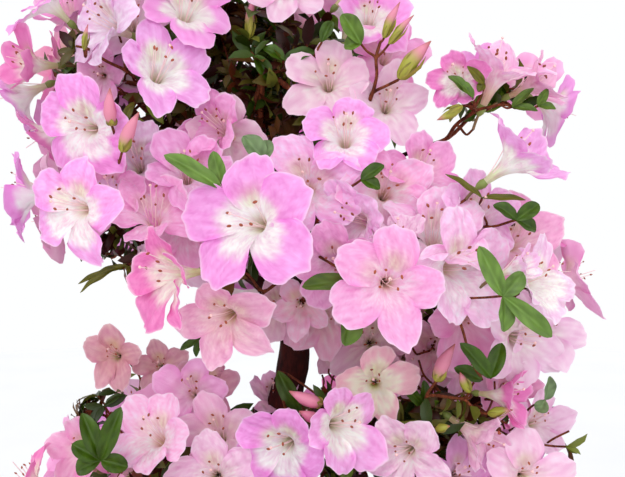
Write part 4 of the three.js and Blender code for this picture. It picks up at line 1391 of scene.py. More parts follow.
# What the crown is made of, as it grows: blooms with the heads of their shoots, buds, and leaves.
class Crown:
    def __init__(self):
        self.skeletons = [Skeleton(index) for index in range(len(masses))]
        self.blooms, self.buds, self.leaves, self.inner, self.seen_heads = (
            [[] for _ in masses] for _ in range(5)
        )
        self.seen_leaves = []
        self.rims, self.rim_axes, self.rim_radii = np.zeros((0, 3)), np.zeros((0, 3)), np.zeros(0)
        self.seen_pixels = np.zeros((0, 4))

    # Joins a shoot to the skeleton that is cheapest to reach, by a clear way if one of the nearer ones
    # has it, and gives that mass's number.
    def attach(self, foot, axis, load=1):
        costs = [skeleton.least_cost(foot) for skeleton in self.skeletons]
        if foot[2] < SPRAY_FROM:
            costs[-1] += SPRAY_SHUNNED
        for clear, tried in ((self.clear_way, 9), (None, 4)):
            for index in np.argsort(costs, kind="stable")[:tried]:
                end = self.skeletons[index].join(foot, axis, False, clear)
                if end is not None:
                    self.skeletons[index].carry(end, load)
                    return int(index)
        return int(np.argmin(costs))

    # Whether places keep out of the cups of the blooms that stand already.
    def clear_of_blooms(self, points):
        if not len(self.rims):
            return True
        away = points[:, None] - self.rims[None]
        along = (away * self.rim_axes[None]).sum(axis=2)
        aside = norm(away - along[..., None] * self.rim_axes[None], axis=2)
        share = np.clip((along + CUP.depth) / CUP.depth, 0, 1) ** CUP.curve
        cup = CUP.throat + (self.rim_radii - CUP.rim) * share
        return not ((along > -CUP.behind) & (along < CUP.before) & (aside < cup)).any()

    # Whether a twig's places keep out of the cups and of the windows of sky.
    def clear_way(self, points):
        return self.clear_of_blooms(points) and not open_to_sky(points, 0, True).any()

    def nearest_mass(self, place):
        return int(np.argmin(norm(CENTRES - place, axis=1)))

    def bear(self, index, bloom, head):
        self.blooms[index].append((bloom, head))
        self.rims = np.vstack([self.rims, bloom.rim])
        self.rim_axes = np.vstack([self.rim_axes, bloom.axes[2]])
        self.rim_radii = np.append(self.rim_radii, bloom.radius)

    def note_seen(self, centre, radius):
        x, y, depth = pixels_of(centre)[0]
        row = [x, y, depth, radius * FOCAL_PIXELS / depth]
        self.seen_pixels = np.vstack([self.seen_pixels, row])

    # Whether something of a radius at a place would hide what the photo shows.
    def hides_seen(self, centre, radius, behind=14, overlap=0.8):
        x, y, depth = pixels_of(centre)[0]
        reach = radius * FOCAL_PIXELS / depth
        away = np.hypot(self.seen_pixels[:, 0] - x, self.seen_pixels[:, 1] - y)
        near = away < overlap * (self.seen_pixels[:, 3] + reach)
        return bool((near & (depth < self.seen_pixels[:, 2] + behind)).any())

    def crowded(self, rim, radius, spacing):
        away = norm(self.rims - rim, axis=1)
        return bool((away < spacing * (self.rim_radii + radius)).any())


# The cells across and along each petal, by how near the camera sees the bloom.
CELLS_NEAR, NEAR_DEPTH = (26, 36), 465
CELLS_SEEN, SEEN_DEPTH = (20, 27), 486
CELLS_BEHIND = (12, 16)
CELLS_FRONT, FRONT_DEPTH = (8, 11), 560
CELLS_FILL = (5, 7)
VIEW_MARGIN = 40


def cells_at(place):
    x, y, depth = pixels_of(place)[0]
    across = -VIEW_MARGIN < x < IMAGE_WIDTH + VIEW_MARGIN
    in_view = across and -VIEW_MARGIN < y < IMAGE_HEIGHT + VIEW_MARGIN
    return CELLS_FRONT if in_view and depth < FRONT_DEPTH else CELLS_FILL


def grow_seen_blooms(crown):
    for number, (name, row) in enumerate(BLOOMS_SEEN.items()):
        pixel, depth, width, faces, petal_turn, opening, kind = row
        axes = axes_seen(faces, petal_turn)
        cells = CELLS_NEAR if depth < NEAR_DEPTH else CELLS_SEEN if depth < SEEN_DEPTH else CELLS_BEHIND
        bloom = Bloom(place_of(pixel, depth), axes, width, opening, kind, cells, 1000 + number)
        if name in TIPS_SEEN:
            bloom.reach_for(TIPS_SEEN[name])
        bloom.anthers = ANTHERS_SEEN.get(name)
        head = bloom.foot - axes[2] * BARE_STALK - np.array([0, 0, 2.0])
        index = crown.attach(head, axes[2])
        crown.bear(index, bloom, head)
        crown.seen_heads[index].append((head, axes[2]))
        crown.note_seen(bloom.rim, bloom.radius * (0.62 if abs(faces[0]) > 0.6 else 0.92))


# Leaves and buds at the pixels where they stand out, each on a shoot that joins the nearest mass.
def grow_seen_shoots(crown):
    random = np.random.default_rng(SEED + 5)
    for foot, depth, width, tone, tips in LEAVES_SEEN.values():
        base = place_of(foot, depth)
        outs = [place_of(tip, depth - 4 + 8 * random.random()) for tip in tips]
        ahead = np.mean([unit(out - base) for out in outs], axis=0)
        crown.attach(base, unit(0.5 * ahead + np.array([0, -0.9, 0.1])), 0.5)
        for out in outs:
            way = unit(np.array([0.25 * random.standard_normal(), -1, 0.45]))
            tint = linear(LEAF_TONES[tone]) * (0.85 + 0.3 * random.random())
            crown.seen_leaves.append((base, out, way, width, 0.05 + 0.05 * random.random(), tint))
    for foot, tip, width, depth, green in BUDS_SEEN.values():
        base, end_at = place_of(foot, depth), place_of(tip, depth - 5)
        index = crown.attach(base, unit(unit(end_at - base) + np.array([0, -0.7, 0])))
        crown.buds[index].append((base, end_at, width * depth / FOCAL_PIXELS, green))


# Where the spray's bare twig passes, so that its blooms join it.
def lay_spray_twig(crown):
    skeleton = crown.skeletons[-1]
    parent = 1
    for pixel, depth in SPRAY_TWIG:
        parent = skeleton.add(place_of(pixel, depth), parent)


def lay_seen_twigs(crown):
    for way in TWIGS_SEEN.values():
        places = [place_of(pixel, depth) for pixel, depth in way]
        skeleton = crown.skeletons[crown.attach(places[0], unit(places[1] - places[0]))]
        parent = len(skeleton.at) - 1
        skeleton.ends[parent] = False
        for place in places[1:]:
            parent = skeleton.add(place, parent)
        skeleton.carry(parent)


# The leafy shoots of the crown's dark inside.
def grow_thickets(crown):
    random = np.random.default_rng(SEED + 9)
    for pixel, depth, reach, shoots in THICKETS.values():
        middle = place_of(pixel, depth)
        for _ in range(shoots):
            away = random.standard_normal(3).clip(-1.5, 1.5) * [0.8, 0.7, 0.8]
            tip = middle + reach * away
            if open_to_sky(tip[None], 6, True)[0] or not clear_of_limbs(tip[None])[0]:
                continue
            axis = unit(away + np.array([0, -0.5, 0.2]))
            index = crown.attach(tip, axis, 0.15)
            crown.inner[index].append((tip, axis, 6))


def kind_for(random):
    return str(random.choice(list(KIND_SHARES), p=list(KIND_SHARES.values())))


def bloom_fits(crown, bloom, reach, spacing):
    points = bloom.outer_points()
    if crown.crowded(bloom.rim, bloom.radius, spacing):
        return False
    if not in_crown(points, reach).all() or not clear_of_limbs(points).all():
        return False
    if not in_box(points):
        return False
    if open_to_sky(points).any() or open_to_sky(bloom.rim[None], bloom.radius * 0.7)[0]:
        return False
    return not crown.hides_seen(bloom.rim, bloom.radius)


# The blooms that are filled in, as trusses and singly: their widths and openings as a middle or a least
# and a spread, the least opening, how far out of the crown they may reach, and how near one another.
TRUSS = Named(
    width=(56, 8), opening=(0.98, 0.12), least=0.6, reach=1.13, spacing=0.48, lean=(27, 6), head_back=10,
    rim_ahead=8, backs=(0, 6, 12, 18), leaves=5,
)
SINGLE = Named(
    width=(52, 10), opening=(0.95, 0.15), least=0.5, reach=1.12, spacing=0.5, inner_spacing=0.62,
    astray=0.28, outs=(1.0, 0.9, 0.8, 0.7), leaves=4, tries=700,
)
MOST_OPEN = 1.12


def drawn_width(sizes, random):
    least, spread = sizes.width
    return least + spread * random.random()


def drawn_opening(sizes, random):
    middle, spread = sizes.opening
    return float(np.clip(middle + spread * random.standard_normal(), sizes.least, MOST_OPEN))


# Each of the model's sites carries a truss of one to three life-size blooms, moved back where they
# don't fit.
def grow_trusses(crown, index, random):
    skeleton = crown.skeletons[index]
    heart = boughs[index].heart
    for site in sorted(shoot_sites(index), key=lambda site: norm(site.foot - heart)):
        count = BLOOMS_OF_SITE[site.size]
        head = site.foot - site.axis * TRUSS.head_back
        end = skeleton.join(head, site.axis, True, crown.clear_way)
        if end is None:
            continue
        kind = kind_for(random)
        first = tau * random.random()
        kept = 0
        for k in range(count):
            turn = first + tau * k / count + 0.3 * random.standard_normal()
            middle, spread = TRUSS.lean
            lean = radians(0 if count == 1 else middle + spread * random.standard_normal())
            axis = leaning(axes_at(site.axis), lean, turn)
            width, opening = drawn_width(TRUSS, random), drawn_opening(TRUSS, random)
            seed = int(1e6 * random.random())
            ahead = TRUSS.rim_ahead + rim_depth(opening) * width / PETAL.full_width
            for back in TRUSS.backs:
                rim = head + axis * (ahead - back)
                axes = axes_at(axis, tau * random.random())
                bloom = Bloom(rim, axes, width, opening, kind, cells_at(rim), seed)
                if bloom_fits(crown, bloom, TRUSS.reach, TRUSS.spacing):
                    crown.bear(index, bloom, head)
                    skeleton.carry(end)
                    kept += 1
                    break
        if kept:
            crown.leaves[index].append((head, site.axis, TRUSS.leaves))


# More single blooms in the room that the trusses leave, from the outside in.
def grow_between(crown, index, random):
    skeleton = crown.skeletons[index]
    bodies = list(CROWN.values())
    for attempt in range(SINGLE.tries):
        body = bodies[int(len(bodies) * random.random())]
        direction = unit(random.standard_normal(3))
        if direction[2] < BARE_BELOW:
            continue
        for out in SINGLE.outs:
            rim = point_of(body, direction * out)
            if crown.nearest_mass(rim) != index:
                break
            axis = facing(boughs[index], body, direction, rim)
            axis = unit(axis + SINGLE.astray * random.standard_normal(3))
            width, opening = drawn_width(SINGLE, random), drawn_opening(SINGLE, random)
            axes = axes_at(axis, tau * random.random())
            bloom = Bloom(rim, axes, width, opening, kind_for(random), cells_at(rim), attempt)
            spacing = SINGLE.spacing if out > 0.85 else SINGLE.inner_spacing
            if not bloom_fits(crown, bloom, SINGLE.reach, spacing):
                continue
            head = bloom.foot - axis * BARE_STALK
            end = skeleton.join(head, axis, False, crown.clear_way)
            if end is None:
                continue
            crown.bear(index, bloom, head)
            skeleton.carry(end)
            crown.leaves[index].append((head, axis, SINGLE.leaves))
            break


# What the photo shows comes first, then the trusses, and single blooms in the room that is left. Each
# mass has random draws of its own.
crown = Crown()
lay_spray_twig(crown)
lay_seen_twigs(crown)
grow_seen_blooms(crown)
grow_seen_shoots(crown)
grow_thickets(crown)
for grow, times in ((grow_trusses, 3), (grow_between, 5)):
    for mass_index in range(len(masses)):
        grow(crown, mass_index, np.random.default_rng(SEED * times + mass_index))


# The plain small leaf at full size.
LEAF = Named(length=27, width=10.5)


# Where leaves stand in a mass: whorls round the heads and along the twigs, sparse and green on the
# spray, and else small and brownish inside, darkened in part as painted shade. Each row is a place, an
# axis, a count, greens and a size.
def leaf_whorls(crown, index):
    skeleton = crown.skeletons[index]
    whorls = [(*row, LEAF_GREENS, 1.0) for row in crown.leaves[index]]
    whorls += [(*row, INNER_LEAVES_WITH_PAINTED_SHADE, 0.62) for row in crown.inner[index]]
    whorls += [(*row, 4, LEAF_GREENS, 1.0) for row in crown.seen_heads[index]]
    on_spray = index == len(masses) - 1
    spacing, greens, small = (15, LEAF_GREENS, 1.0) if on_spray else (6, INNER_LEAVES_WITH_PAINTED_SHADE, 0.75)
    for i in range(2, len(skeleton.at)):
        if skeleton.load[i]:
            start, end = skeleton.at[skeleton.parent[i]], skeleton.at[i]
            run = norm(end - start)
            for step in np.arange(7, run, spacing):
                whorls.append((start + (end - start) * step / run, unit(end - start), 3, greens, small))
    return whorls


# Whether a leaf stands within the crown, clear of the limbs and the blooms, and hides nothing that the
# photo shows.
def leaf_fits(crown, at, way, tip):
    points = np.array([at + way * 5, (at + tip) / 2, tip])
    if not in_crown(points, 1.12).all() or not clear_of_limbs(points).all():
        return False
    if not in_box(points) or not crown.clear_of_blooms(points):
        return False
    return not (open_to_sky(points, 2.0, True).any() or crown.hides_seen((at + tip) / 2, 8, 16, 0.9))


def leaf_spots(crown, index, random):
    spots = []
    for at, axis, count, greens, small in leaf_whorls(crown, index):
        green = linear(greens[int(len(greens) * random.random())])
        axes = axes_at(axis, tau * random.random())
        for k in range(count):
            turn = tau * k / count + 0.5 * random.standard_normal()
            lean = radians(84 + 14 * random.standard_normal())
            way = leaning(axes, lean, turn)
            size = small * (0.6 + 0.5 * random.random())
            if leaf_fits(crown, at, way, at + way * LEAF.length * size):
                spots.append((at, way, axis, size, green * (0.8 + 0.4 * random.random())))
    return spots


# Adds nodes by short calls: an input that is a socket is joined, and any other is set on the node.
class Nodes:
    def __init__(self, tree):
        self.tree = tree
        self.tree.nodes.clear()

    def add(self, kind, inputs=None, output=0, **settings):
        node = self.tree.nodes.new(kind)
        for key, value in settings.items():
            setattr(node, key, value)
        for key, value in (inputs or {}).items():
            if isinstance(value, bpy.types.NodeSocket):
                self.tree.links.new(value, node.inputs[key])
            else:
                node.inputs[key].default_value = value
        return node.outputs[output] if node.outputs else None


# A material, with the patterns and surfaces that the finishes are made of.
class Look(Nodes):
    def __init__(self, name):
        self.material = bpy.data.materials.new(name)
        self.material.use_nodes = True
        super().__init__(self.material.node_tree)

    def object_place(self):
        return self.add("ShaderNodeTexCoord", output=3)

    # The colour that each point of the mesh carries.
    def tint(self):
        return self.add("ShaderNodeAttribute", attribute_name="tint")

    def ramp(self, factor, stops):
        colours = self.add("ShaderNodeValToRGB", {"Fac": factor})
        elements = colours.node.color_ramp.elements
        while len(elements) < len(stops):
            elements.new(0.5)
        for element, (place, colour) in zip(elements, stops):
            element.position = place
            element.color = (*[float(c) for c in linear(colour)], 1)
        return colours

    # A colour darkened where a pattern is low.
    def darkened(self, colour, pattern, stops):
        inputs = {"Factor": 1.0, 6: colour, 7: self.ramp(pattern, stops)}
        return self.add("ShaderNodeMix", inputs, 2, data_type="RGBA", blend_type="MULTIPLY")

    def noise(self, vector, scale, detail=4.0, roughness=0.5):
        inputs = {"Vector": vector, "Scale": scale, "Detail": detail, "Roughness": roughness}
        return self.add("ShaderNodeTexNoise", inputs)

    def stretched(self, vector, stretch):
        return self.add("ShaderNodeMapping", {"Vector": vector, "Scale": stretch})

    def bump(self, height, strength, distance):
        return self.add("ShaderNodeBump", {"Height": height, "Strength": strength, "Distance": distance})

    def surface(self, colour, roughness, normal=None, specular=0.5):
        inputs = {"Base Color": colour, "Roughness": roughness, "Specular IOR Level": specular}
        if normal:
            inputs["Normal"] = normal
        return self.add("ShaderNodeBsdfPrincipled", inputs)

    # A surface that lets a share of the light through.
    def thin(self, body, share, inputs):
        glow = self.add("ShaderNodeBsdfTranslucent", inputs)
        return self.add("ShaderNodeMixShader", {"Fac": share, 1: body, 2: glow})

    def finish(self, shader):
        self.add("ShaderNodeOutputMaterial", {"Surface": shader})
        return self.material


# Petals are matt, finely veined along their length, and let some light through.
def petal_look():
    look = Look("azalea_petal")
    tint = look.tint()
    way = look.add("ShaderNodeUVMap", uv_map="way")
    veins = look.noise(look.stretched(way, (34, 3.0, 1)), 1.0, 3.0, 0.6)
    normal = look.bump(veins, 0.4, 0.0009)
    body = look.surface(tint, 0.62, normal, 0.2)
    return look.finish(look.thin(body, 0.3, {"Color": tint, "Normal": normal}))


def leaf_look():
    look = Look("azalea_leaf")
    tint = look.tint()
    normal = look.bump(look.noise(look.object_place(), 700.0), 0.3, 0.0006)
    body = look.surface(tint, 0.36, normal, 0.3)
    return look.finish(look.thin(body, 0.12, {"Color": tint}))


def stalk_look():
    look = Look("azalea_stalk")
    return look.finish(look.surface(look.tint(), 0.5))


WHITE = (255, 255, 255)


# Bark is fissured along the limb, with a finer grain over it.
def bark_look(name, dark, light, scale):
    look = Look(name)
    place = look.object_place()
    long_grain = look.noise(look.stretched(place, (1, 1, 0.22)), scale, 6.0, 0.62)
    fine_grain = look.noise(look.stretched(place, (1, 1, 0.35)), scale * 4, 4.0, 0.6)
    colour = look.ramp(long_grain, [(0.3, dark), (0.55, light), (0.8, dark)])
    colour = look.darkened(colour, fine_grain, [(0.35, (150, 140, 136)), (0.7, WHITE)])
    return look.finish(look.surface(colour, 0.8, look.bump(long_grain, 0.7, 0.0016), 0.2))


# Fired clay: clouded, with faint rings from the wheel and fine grit.
def clay_look():
    look = Look("fired_clay")
    place = look.object_place()
    cloud = look.noise(place, 14.0, 5.0, 0.6)
    rings = look.noise(look.stretched(place, (1, 1, 14)), 12.0, 2.0, 0.5)
    grit = look.noise(place, 420.0, 2.0, 0.5)
    colour = look.ramp(cloud, [(0.28, (170, 98, 68)), (0.5, (192, 116, 82)), (0.74, (206, 142, 112))])
    colour = look.darkened(colour, rings, [(0.35, (246, 241, 238)), (0.6, WHITE)])
    colour = look.darkened(colour, grit, [(0.3, (206, 190, 180)), (0.5, WHITE)])
    return look.finish(look.surface(colour, 0.86, look.bump(grit, 0.35, 0.0008)))


# Potting mix in loose dark clods.
def mix_look():
    look = Look("potting_mix")
    clods = look.noise(look.object_place(), 150.0, 5.0, 0.7)
    colour = look.ramp(clods, [(0.3, (28, 20, 15)), (0.55, (62, 45, 34)), (0.8, (96, 74, 56))])
    return look.finish(look.surface(colour, 0.95, look.bump(clods, 0.9, 0.003)))


def chip_look():
    look = Look("bark_chip")
    grain = look.noise(look.object_place(), 380.0)
    colour = look.darkened(look.tint(), grain, [(0.3, (150, 140, 132)), (0.7, WHITE)])
    return look.finish(look.surface(colour, 0.9))


def floor_look():
    look = Look("pale_floor")
    cloud = look.noise(look.object_place(), 3.0)
    colour = look.ramp(cloud, [(0.3, (232, 233, 235)), (0.7, (236, 237, 239))])
    return look.finish(look.surface(colour, 0.75))


petal_material = petal_look()
leaf_material = leaf_look()
stalk_material = stalk_look()
# The trunk's and boughs' bark: dark red-brown, made darker still as painted shade of the crown's inside.
trunk_material_with_painted_shade = bark_look("trunk_bark", (30, 5, 3), (74, 20, 11), 90.0)
twig_material = bark_look("twig_bark", (82, 30, 18), (146, 78, 46), 160.0)


# The tint that limbs and twigs carry, as linear shares.
BARK = (0.1, 0.03, 0.02)


# How far fissured bark is raised at places on a limb.
def relief(points, depth):
    raised = np.empty(len(points))
    for i, (x, y, z) in enumerate(points):
        coarse = noise.noise(Vector((x * 0.16, y * 0.16, z * 0.035)))
        fine = noise.noise(Vector((x * 0.5, y * 0.5, z * 0.11)))
        raised[i] = depth * (0.9 * abs(coarse) * 2 - 0.5 + 0.5 * fine)
    return raised


# A limb swept along a curve of the model's own, with bark raised on it and its ends closed.
def swept_limb(curve, radius_at, sides, rings, first=0.0, depth=0.6):
    shares = np.linspace(first, 1, rings + 1)
    path = curve.place(shares)
    points, quads = tubes(path[None], np.ones((1, rings + 1)), sides)
    centre = np.repeat(path, sides, axis=0)
    out = points - centre
    turn = np.tile(tau * np.arange(sides) / sides, rings + 1)
    radius = radius_at(np.repeat(shares, sides), turn)
    raised = relief(centre + out * radius[:, None], depth) * np.minimum(radius / 8, 1)
    points = centre + out * (radius + raised)[:, None]
    foot, tip = len(points), len(points) + 1
    last = rings * sides
    caps = []
    for k in range(0, sides, 2):
        beside, after = (k + 1) % sides, (k + 2) % sides
        caps += [[k, beside, after, foot], [last + after, last + beside, last + k, tip]]
    return np.vstack([points, path[0], path[-1]]), np.vstack([quads, np.array(caps)])


def trunk_mesh():
    below = TRUNK.cut - TRUNK_POINTS[0][2]
    sunk, _ = on_trunk(TRUNK.cut - 4)

    def radius_at(share, turn):
        flare = np.exp((below - share * trunk_curve.length) / TRUNK.flare_height)
        rib = 0.72 + 0.28 * np.cos(TRUNK.ribs * turn + 0.8)
        return trunk_radius(share) + TRUNK.flare_radius * np.minimum(flare, 1.1) * rib

    return swept_limb(trunk_curve, radius_at, 40, 190, sunk, 0.9)


def bough_meshes():
    heap = Heap()
    for bough in boughs:
        curve = bough.curve
        if curve:
            rings = max(8, int(curve.length / 3))
            limb = swept_limb(curve, lambda share, turn: bough_radius(bough, share), 16, rings, 0.0, 0.5)
            heap.add(*limb, BARK)
    return heap


def make_limbs():
    points, quads = trunk_mesh()
    mesh = mesh_from("trunk_bark", points, quads)
    mesh.materials.append(trunk_material_with_painted_shade)
    settle(new_object("trunk_bark", mesh), ["trunk"])
    nodes = [f"bough_{mass.name}" for mass, bough in zip(masses, boughs) if bough.curve]
    heap_piece("boughs_bark", bough_meshes(), trunk_material_with_painted_shade, nodes)


# Twigs run from each place of a skeleton to the next, smoothly through the bends.
def twig_paths(skeleton):
    paths, radii = [], []
    t = np.linspace(0, 1, 6)[:, None]
    bough = boughs[skeleton.index]
    most = BOUGH.tip_radius * (1 - bough.slimmer)
    for i in range(1, len(skeleton.at)):
        if skeleton.load[i] == 0:
            continue
        parent = skeleton.parent[i]
        start, end = skeleton.at[parent], skeleton.at[i]
        run = norm(end - start)
        lead = start - skeleton.at[skeleton.parent[parent]] if parent else bough.way * run
        lead = unit(lead) * run * TWIG.slack
        leave = (end - start) * TWIG.slack
        curve = start * (1 - t) ** 3 + 3 * (start + lead) * t * (1 - t) ** 2
        curve = curve + 3 * (end - leave) * t**2 * (1 - t) + end * t**3
        thick, thin = twig_radius(skeleton.load[parent]), twig_radius(skeleton.load[i])
        thick = min(thick, thin * 1.5, most) if parent else most
        thin = TWIG.thin if skeleton.ends[i] else min(thin, most)
        paths.append(curve)
        radii.append(thick + (thin - thick) * t[:, 0])
    return np.array(paths), np.array(radii)


# Geometry Nodes set a small shape at each point of a mesh, by the point's own turn and size, and make
# one plain mesh of them.
def scatter_tree(name):
    tree = bpy.data.node_groups.new(name, "GeometryNodeTree")
    inputs = {"Points": "Geometry", "Shape": "Object", "Size": "Float", "Finish": "Material"}
    for socket, kind in inputs.items():
        tree.interface.new_socket(socket, in_out="INPUT", socket_type=f"NodeSocket{kind}")
    tree.interface.new_socket("Geometry", in_out="OUTPUT", socket_type="NodeSocketGeometry")
    nodes = Nodes(tree)
    given = tree.nodes.new("NodeGroupInput").outputs
    carried = "GeometryNodeInputNamedAttribute"
    turn = nodes.add(carried, {"Name": "turn"}, "Attribute", data_type="QUATERNION")
    size = nodes.add(carried, {"Name": "size"}, "Attribute", data_type="FLOAT")
    shape = nodes.add("GeometryNodeObjectInfo", {"Object": given["Shape"]}, "Geometry")
    scale = nodes.add("ShaderNodeMath", {0: size, 1: given["Size"]}, operation="MULTIPLY")
    inputs = {"Points": given["Points"], "Instance": shape, "Rotation": turn, "Scale": scale}
    placed = nodes.add("GeometryNodeInstanceOnPoints", inputs)
    real = nodes.add("GeometryNodeRealizeInstances", {"Geometry": placed})
    finish = nodes.add("GeometryNodeSetMaterial", {"Geometry": real, "Material": given["Finish"]})
    nodes.add("NodeGroupOutput", {"Geometry": finish})
    return tree


def scattered(name, tree, shape, places, axes, sizes, tints, material):
    mesh = points_mesh(name + "_points", places)
    turns = [Matrix(np.array(a).T.tolist()).to_quaternion()[:] for a in axes]
    for layer, kind, values in (("turn", "QUATERNION", turns), ("size", "FLOAT", sizes)):
        values = np.array(values, np.float32).ravel()
        mesh.attributes.new(layer, kind, "POINT").data.foreach_set("value", values)
    tint_points(mesh.attributes, tints)
    carrier = new_object(name + "_points", mesh)
    modifier = carrier.modifiers.new("scatter", "NODES")
    modifier.node_group = tree
    values = {"Shape": shape, "Size": 1.0, "Finish": material}
    for item in tree.interface.items_tree:
        if item.in_out == "INPUT" and item.name in values:
            modifier[item.identifier] = values[item.name]
    made = evaluated_mesh(carrier)
    carrier.modifiers.clear()
    bpy.data.objects.remove(carrier)
    made.name = name
    set_smooth(made)
    return new_object(name, made)


# The plain small leaf that is scattered: its root is at zero, it grows along z and faces x.
def small_leaf():
    heap = Heap()
    root, tip = np.zeros(3), np.array([0, 0, float(LEAF.length)])
    add_blade(heap, root, tip, np.array([1.0, 0, 0]), LEAF.width, 0.1, (2, 4), (1, 1, 1))
    return new_object("small_leaf", mesh_from("small_leaf", heap.points[0], heap.quads[0]))


TIERS = {
    "lower": [i for i, mass in enumerate(masses) if mass.name.startswith("lower")],
    "middle": [i for i, mass in enumerate(masses) if mass.name.startswith("middle")],
    "upper": [i for i, mass in enumerate(masses) if mass.name.startswith(("upper", "top"))],
    "spray": [i for i, mass in enumerate(masses) if mass.name == "right_spray"],
}


# A tier's blooms and buds. The petals nearest to the camera go into a heap of their own.
def make_blossom(tier, nodes, nearest):
    petals, threads, stalks = Heap(), Heap(), Heap()
    for index in TIERS[tier]:
        for bloom, head in crown.blooms[index]:
            (nearest if bloom.cells == CELLS_NEAR else petals).add(*corolla(bloom))
            stamens(bloom, threads, bloom.cells[0] >= CELLS_BEHIND[0])
            stalk(bloom, head, stalks, bloom.cells != CELLS_FILL)
        for base, tip, width, green in crown.buds[index]:
            bud(base, tip, width, green, np.random.default_rng(index), stalks)
    heap_piece(f"petals_{tier}", petals, petal_material, nodes)
    heap_piece(f"stamens_{tier}", threads, stalk_material)
    heap_piece(f"stalks_{tier}", stalks, stalk_material)


def make_twigs(tier):
    heap = Heap()
    for index in TIERS[tier]:
        paths, radii = twig_paths(crown.skeletons[index])
        if len(paths):
            heap.add(*tubes(paths, radii, 6), BARK)
    heap_piece(f"twigs_{tier}", heap, twig_material)


def make_leaves(tier, tree, leaf):
    places, axes, sizes, tints = [], [], [], []
    for index in TIERS[tier]:
        random = np.random.default_rng(SEED * 7 + index)
        for at, way, axis, size, tint in leaf_spots(crown, index, random):
            over = unit(np.cross(np.cross(way, axis), way) + 0.35 * random.standard_normal(3))
            over = unit(over - (over @ way) * way)
            places.append(at)
            axes.append(np.array([over, np.cross(way, over), way]))
            sizes.append(size)
            tints.append(tint)
    piece = scattered(f"leaves_{tier}", tree, leaf, places, axes, sizes, tints, leaf_material)
    return settle(piece)


def make_seen_leaves():
    heap = Heap()
    for base, tip, way, width, arching, tint in crown.seen_leaves:
        pointed = 0.7 if width > 6.5 else 1.2
        add_blade(heap, base, tip, way, width, arching, (10, 16), tint, pointed, 0.26)
    heap_piece("leaves_front", heap, leaf_material)


# A profile of [radius, height] points turned about the pot's axis, a little out of round by its wobble.
def turned(profile, sides, wobble=0.0):
    profile = np.array(profile, float)
    count = len(profile)
    turns = tau * np.arange(sides) / sides
    points = np.zeros((sides, count, 3))
    points[..., 0] = np.cos(turns)[:, None] * profile[:, 0]
    points[..., 1] = np.sin(turns)[:, None] * profile[:, 0]
    points[..., 2] = profile[:, 1]
    out = wobble * np.sin(3 * turns + 0.7)[:, None] * (profile[:, 1] / POT.height)
    points[..., :2] *= (1 + out / 100)[..., None]
    index = np.arange(sides * count).reshape(sides, count)
    beside = np.roll(index, -1, axis=0)
    quads = np.stack([index[:, :-1], beside[:, :-1], beside[:, 1:], index[:, 1:]], axis=-1)
    return points.reshape(-1, 3), quads.reshape(-1, 4)


def pot_radius(height):
    return POT.foot_radius + (POT.lip_radius - POT.foot_radius) * height / POT.height


# Points along a part of a circle that rounds a corner of a profile.
def rounded(across, up, radius, first, last, steps=5):
    turns = np.radians(np.linspace(first, last, steps))
    return [[across + radius * cos(a), up + radius * sin(a)] for a in turns]


# The pot's profile from the middle of its foot, up the outside with its rolled band, and down the inside.
def pot_profile():
    height, wall, floor, foot = POT.height, POT.wall, POT.floor, POT.foot_radius
    step = POT.band_step
    band_foot = height - POT.band_height
    edge, crease = 2.5, 1.5
    lip = pot_radius(height)
    profile = [[0.5, 0], [foot - edge, 0]]
    profile += rounded(foot - edge, edge, edge, -80, 0)
    profile += [[pot_radius(h), h] for h in np.linspace(4, band_foot - crease, 22)]
    profile += rounded(pot_radius(band_foot) + step - crease, band_foot + crease, crease, -90, 0)
    profile += [[pot_radius(h) + step, h] for h in np.linspace(band_foot + 4, height - edge - 1, 8)]
    profile += rounded(lip + step - edge, height - edge, edge, 0, 90)
    profile += rounded(lip - wall + edge, height - edge, edge, 90, 180)
    profile += [[pot_radius(h) - wall, h] for h in np.linspace(height - 8, floor, 8)]
    return profile + [[0.5, floor]]


# Drills the pot's drain holes.
def drained(pot):
    for i in range(POT.drains):
        turn = tau * i / POT.drains
        at = (POT.drain_ring * cos(turn) * MM, POT.drain_ring * sin(turn) * MM, 0.005)
        bpy.ops.mesh.primitive_cylinder_add(
            vertices=24, radius=POT.drain_radius * MM, depth=4 * POT.floor * MM, location=at
        )
        modifier = pot.modifiers.new("drain", "BOOLEAN")
        modifier.operation = "DIFFERENCE"
        modifier.solver = "EXACT"
        modifier.object = bpy.context.object
    cut = evaluated_mesh(pot)
    for modifier in list(pot.modifiers):
        bpy.data.objects.remove(modifier.object)
    pot.modifiers.clear()
    return cut


def make_pot():
    points, quads = turned(pot_profile(), 96, 0.35)
    throwing = 0.16 * np.sin(points[:, 2] * 0.9 + 0.8 * np.arctan2(points[:, 1], points[:, 0]))
    radius = np.hypot(points[:, 0], points[:, 1])
    outer = (radius > pot_radius(points[:, 2]) - 3) & (points[:, 2] > 5)
    points[outer, :2] *= (1 + throwing[outer] / radius[outer])[:, None]
    mesh = mesh_from("pot_clay", points, quads)
    fill_poles(mesh)
    pot = new_object("pot_clay", mesh)
    pot.data = drained(pot)
    pot.data.name = "pot_clay"
    pot.data.materials.clear()
    pot.data.materials.append(clay_look())
    pot.data.set_sharp_from_angle(angle=radians(50))
    return settle(pot, ["pot"])


# Closes the small rings round the axis at the ends of a turned profile.
def fill_poles(mesh):
    work = bmesh.new()
    work.from_mesh(mesh)
    rims = [edge for edge in work.edges if edge.is_boundary]
    bmesh.ops.edgeloop_fill(work, edges=rims)
    bmesh.ops.recalc_face_normals(work, faces=work.faces)
    work.to_mesh(mesh)
    work.free()


# The height of the mix's surface: a low dome, with clods.
def mix_height(radius, x, y):
    inner = pot_radius(MIX.top) - POT.wall
    dome = MIX.crown_rise * np.clip((inner - radius) / (inner * 0.4), 0, 1)
    return MIX.top + dome + 1.3 * noise.noise(Vector((x * 0.09, y * 0.09, 0)))


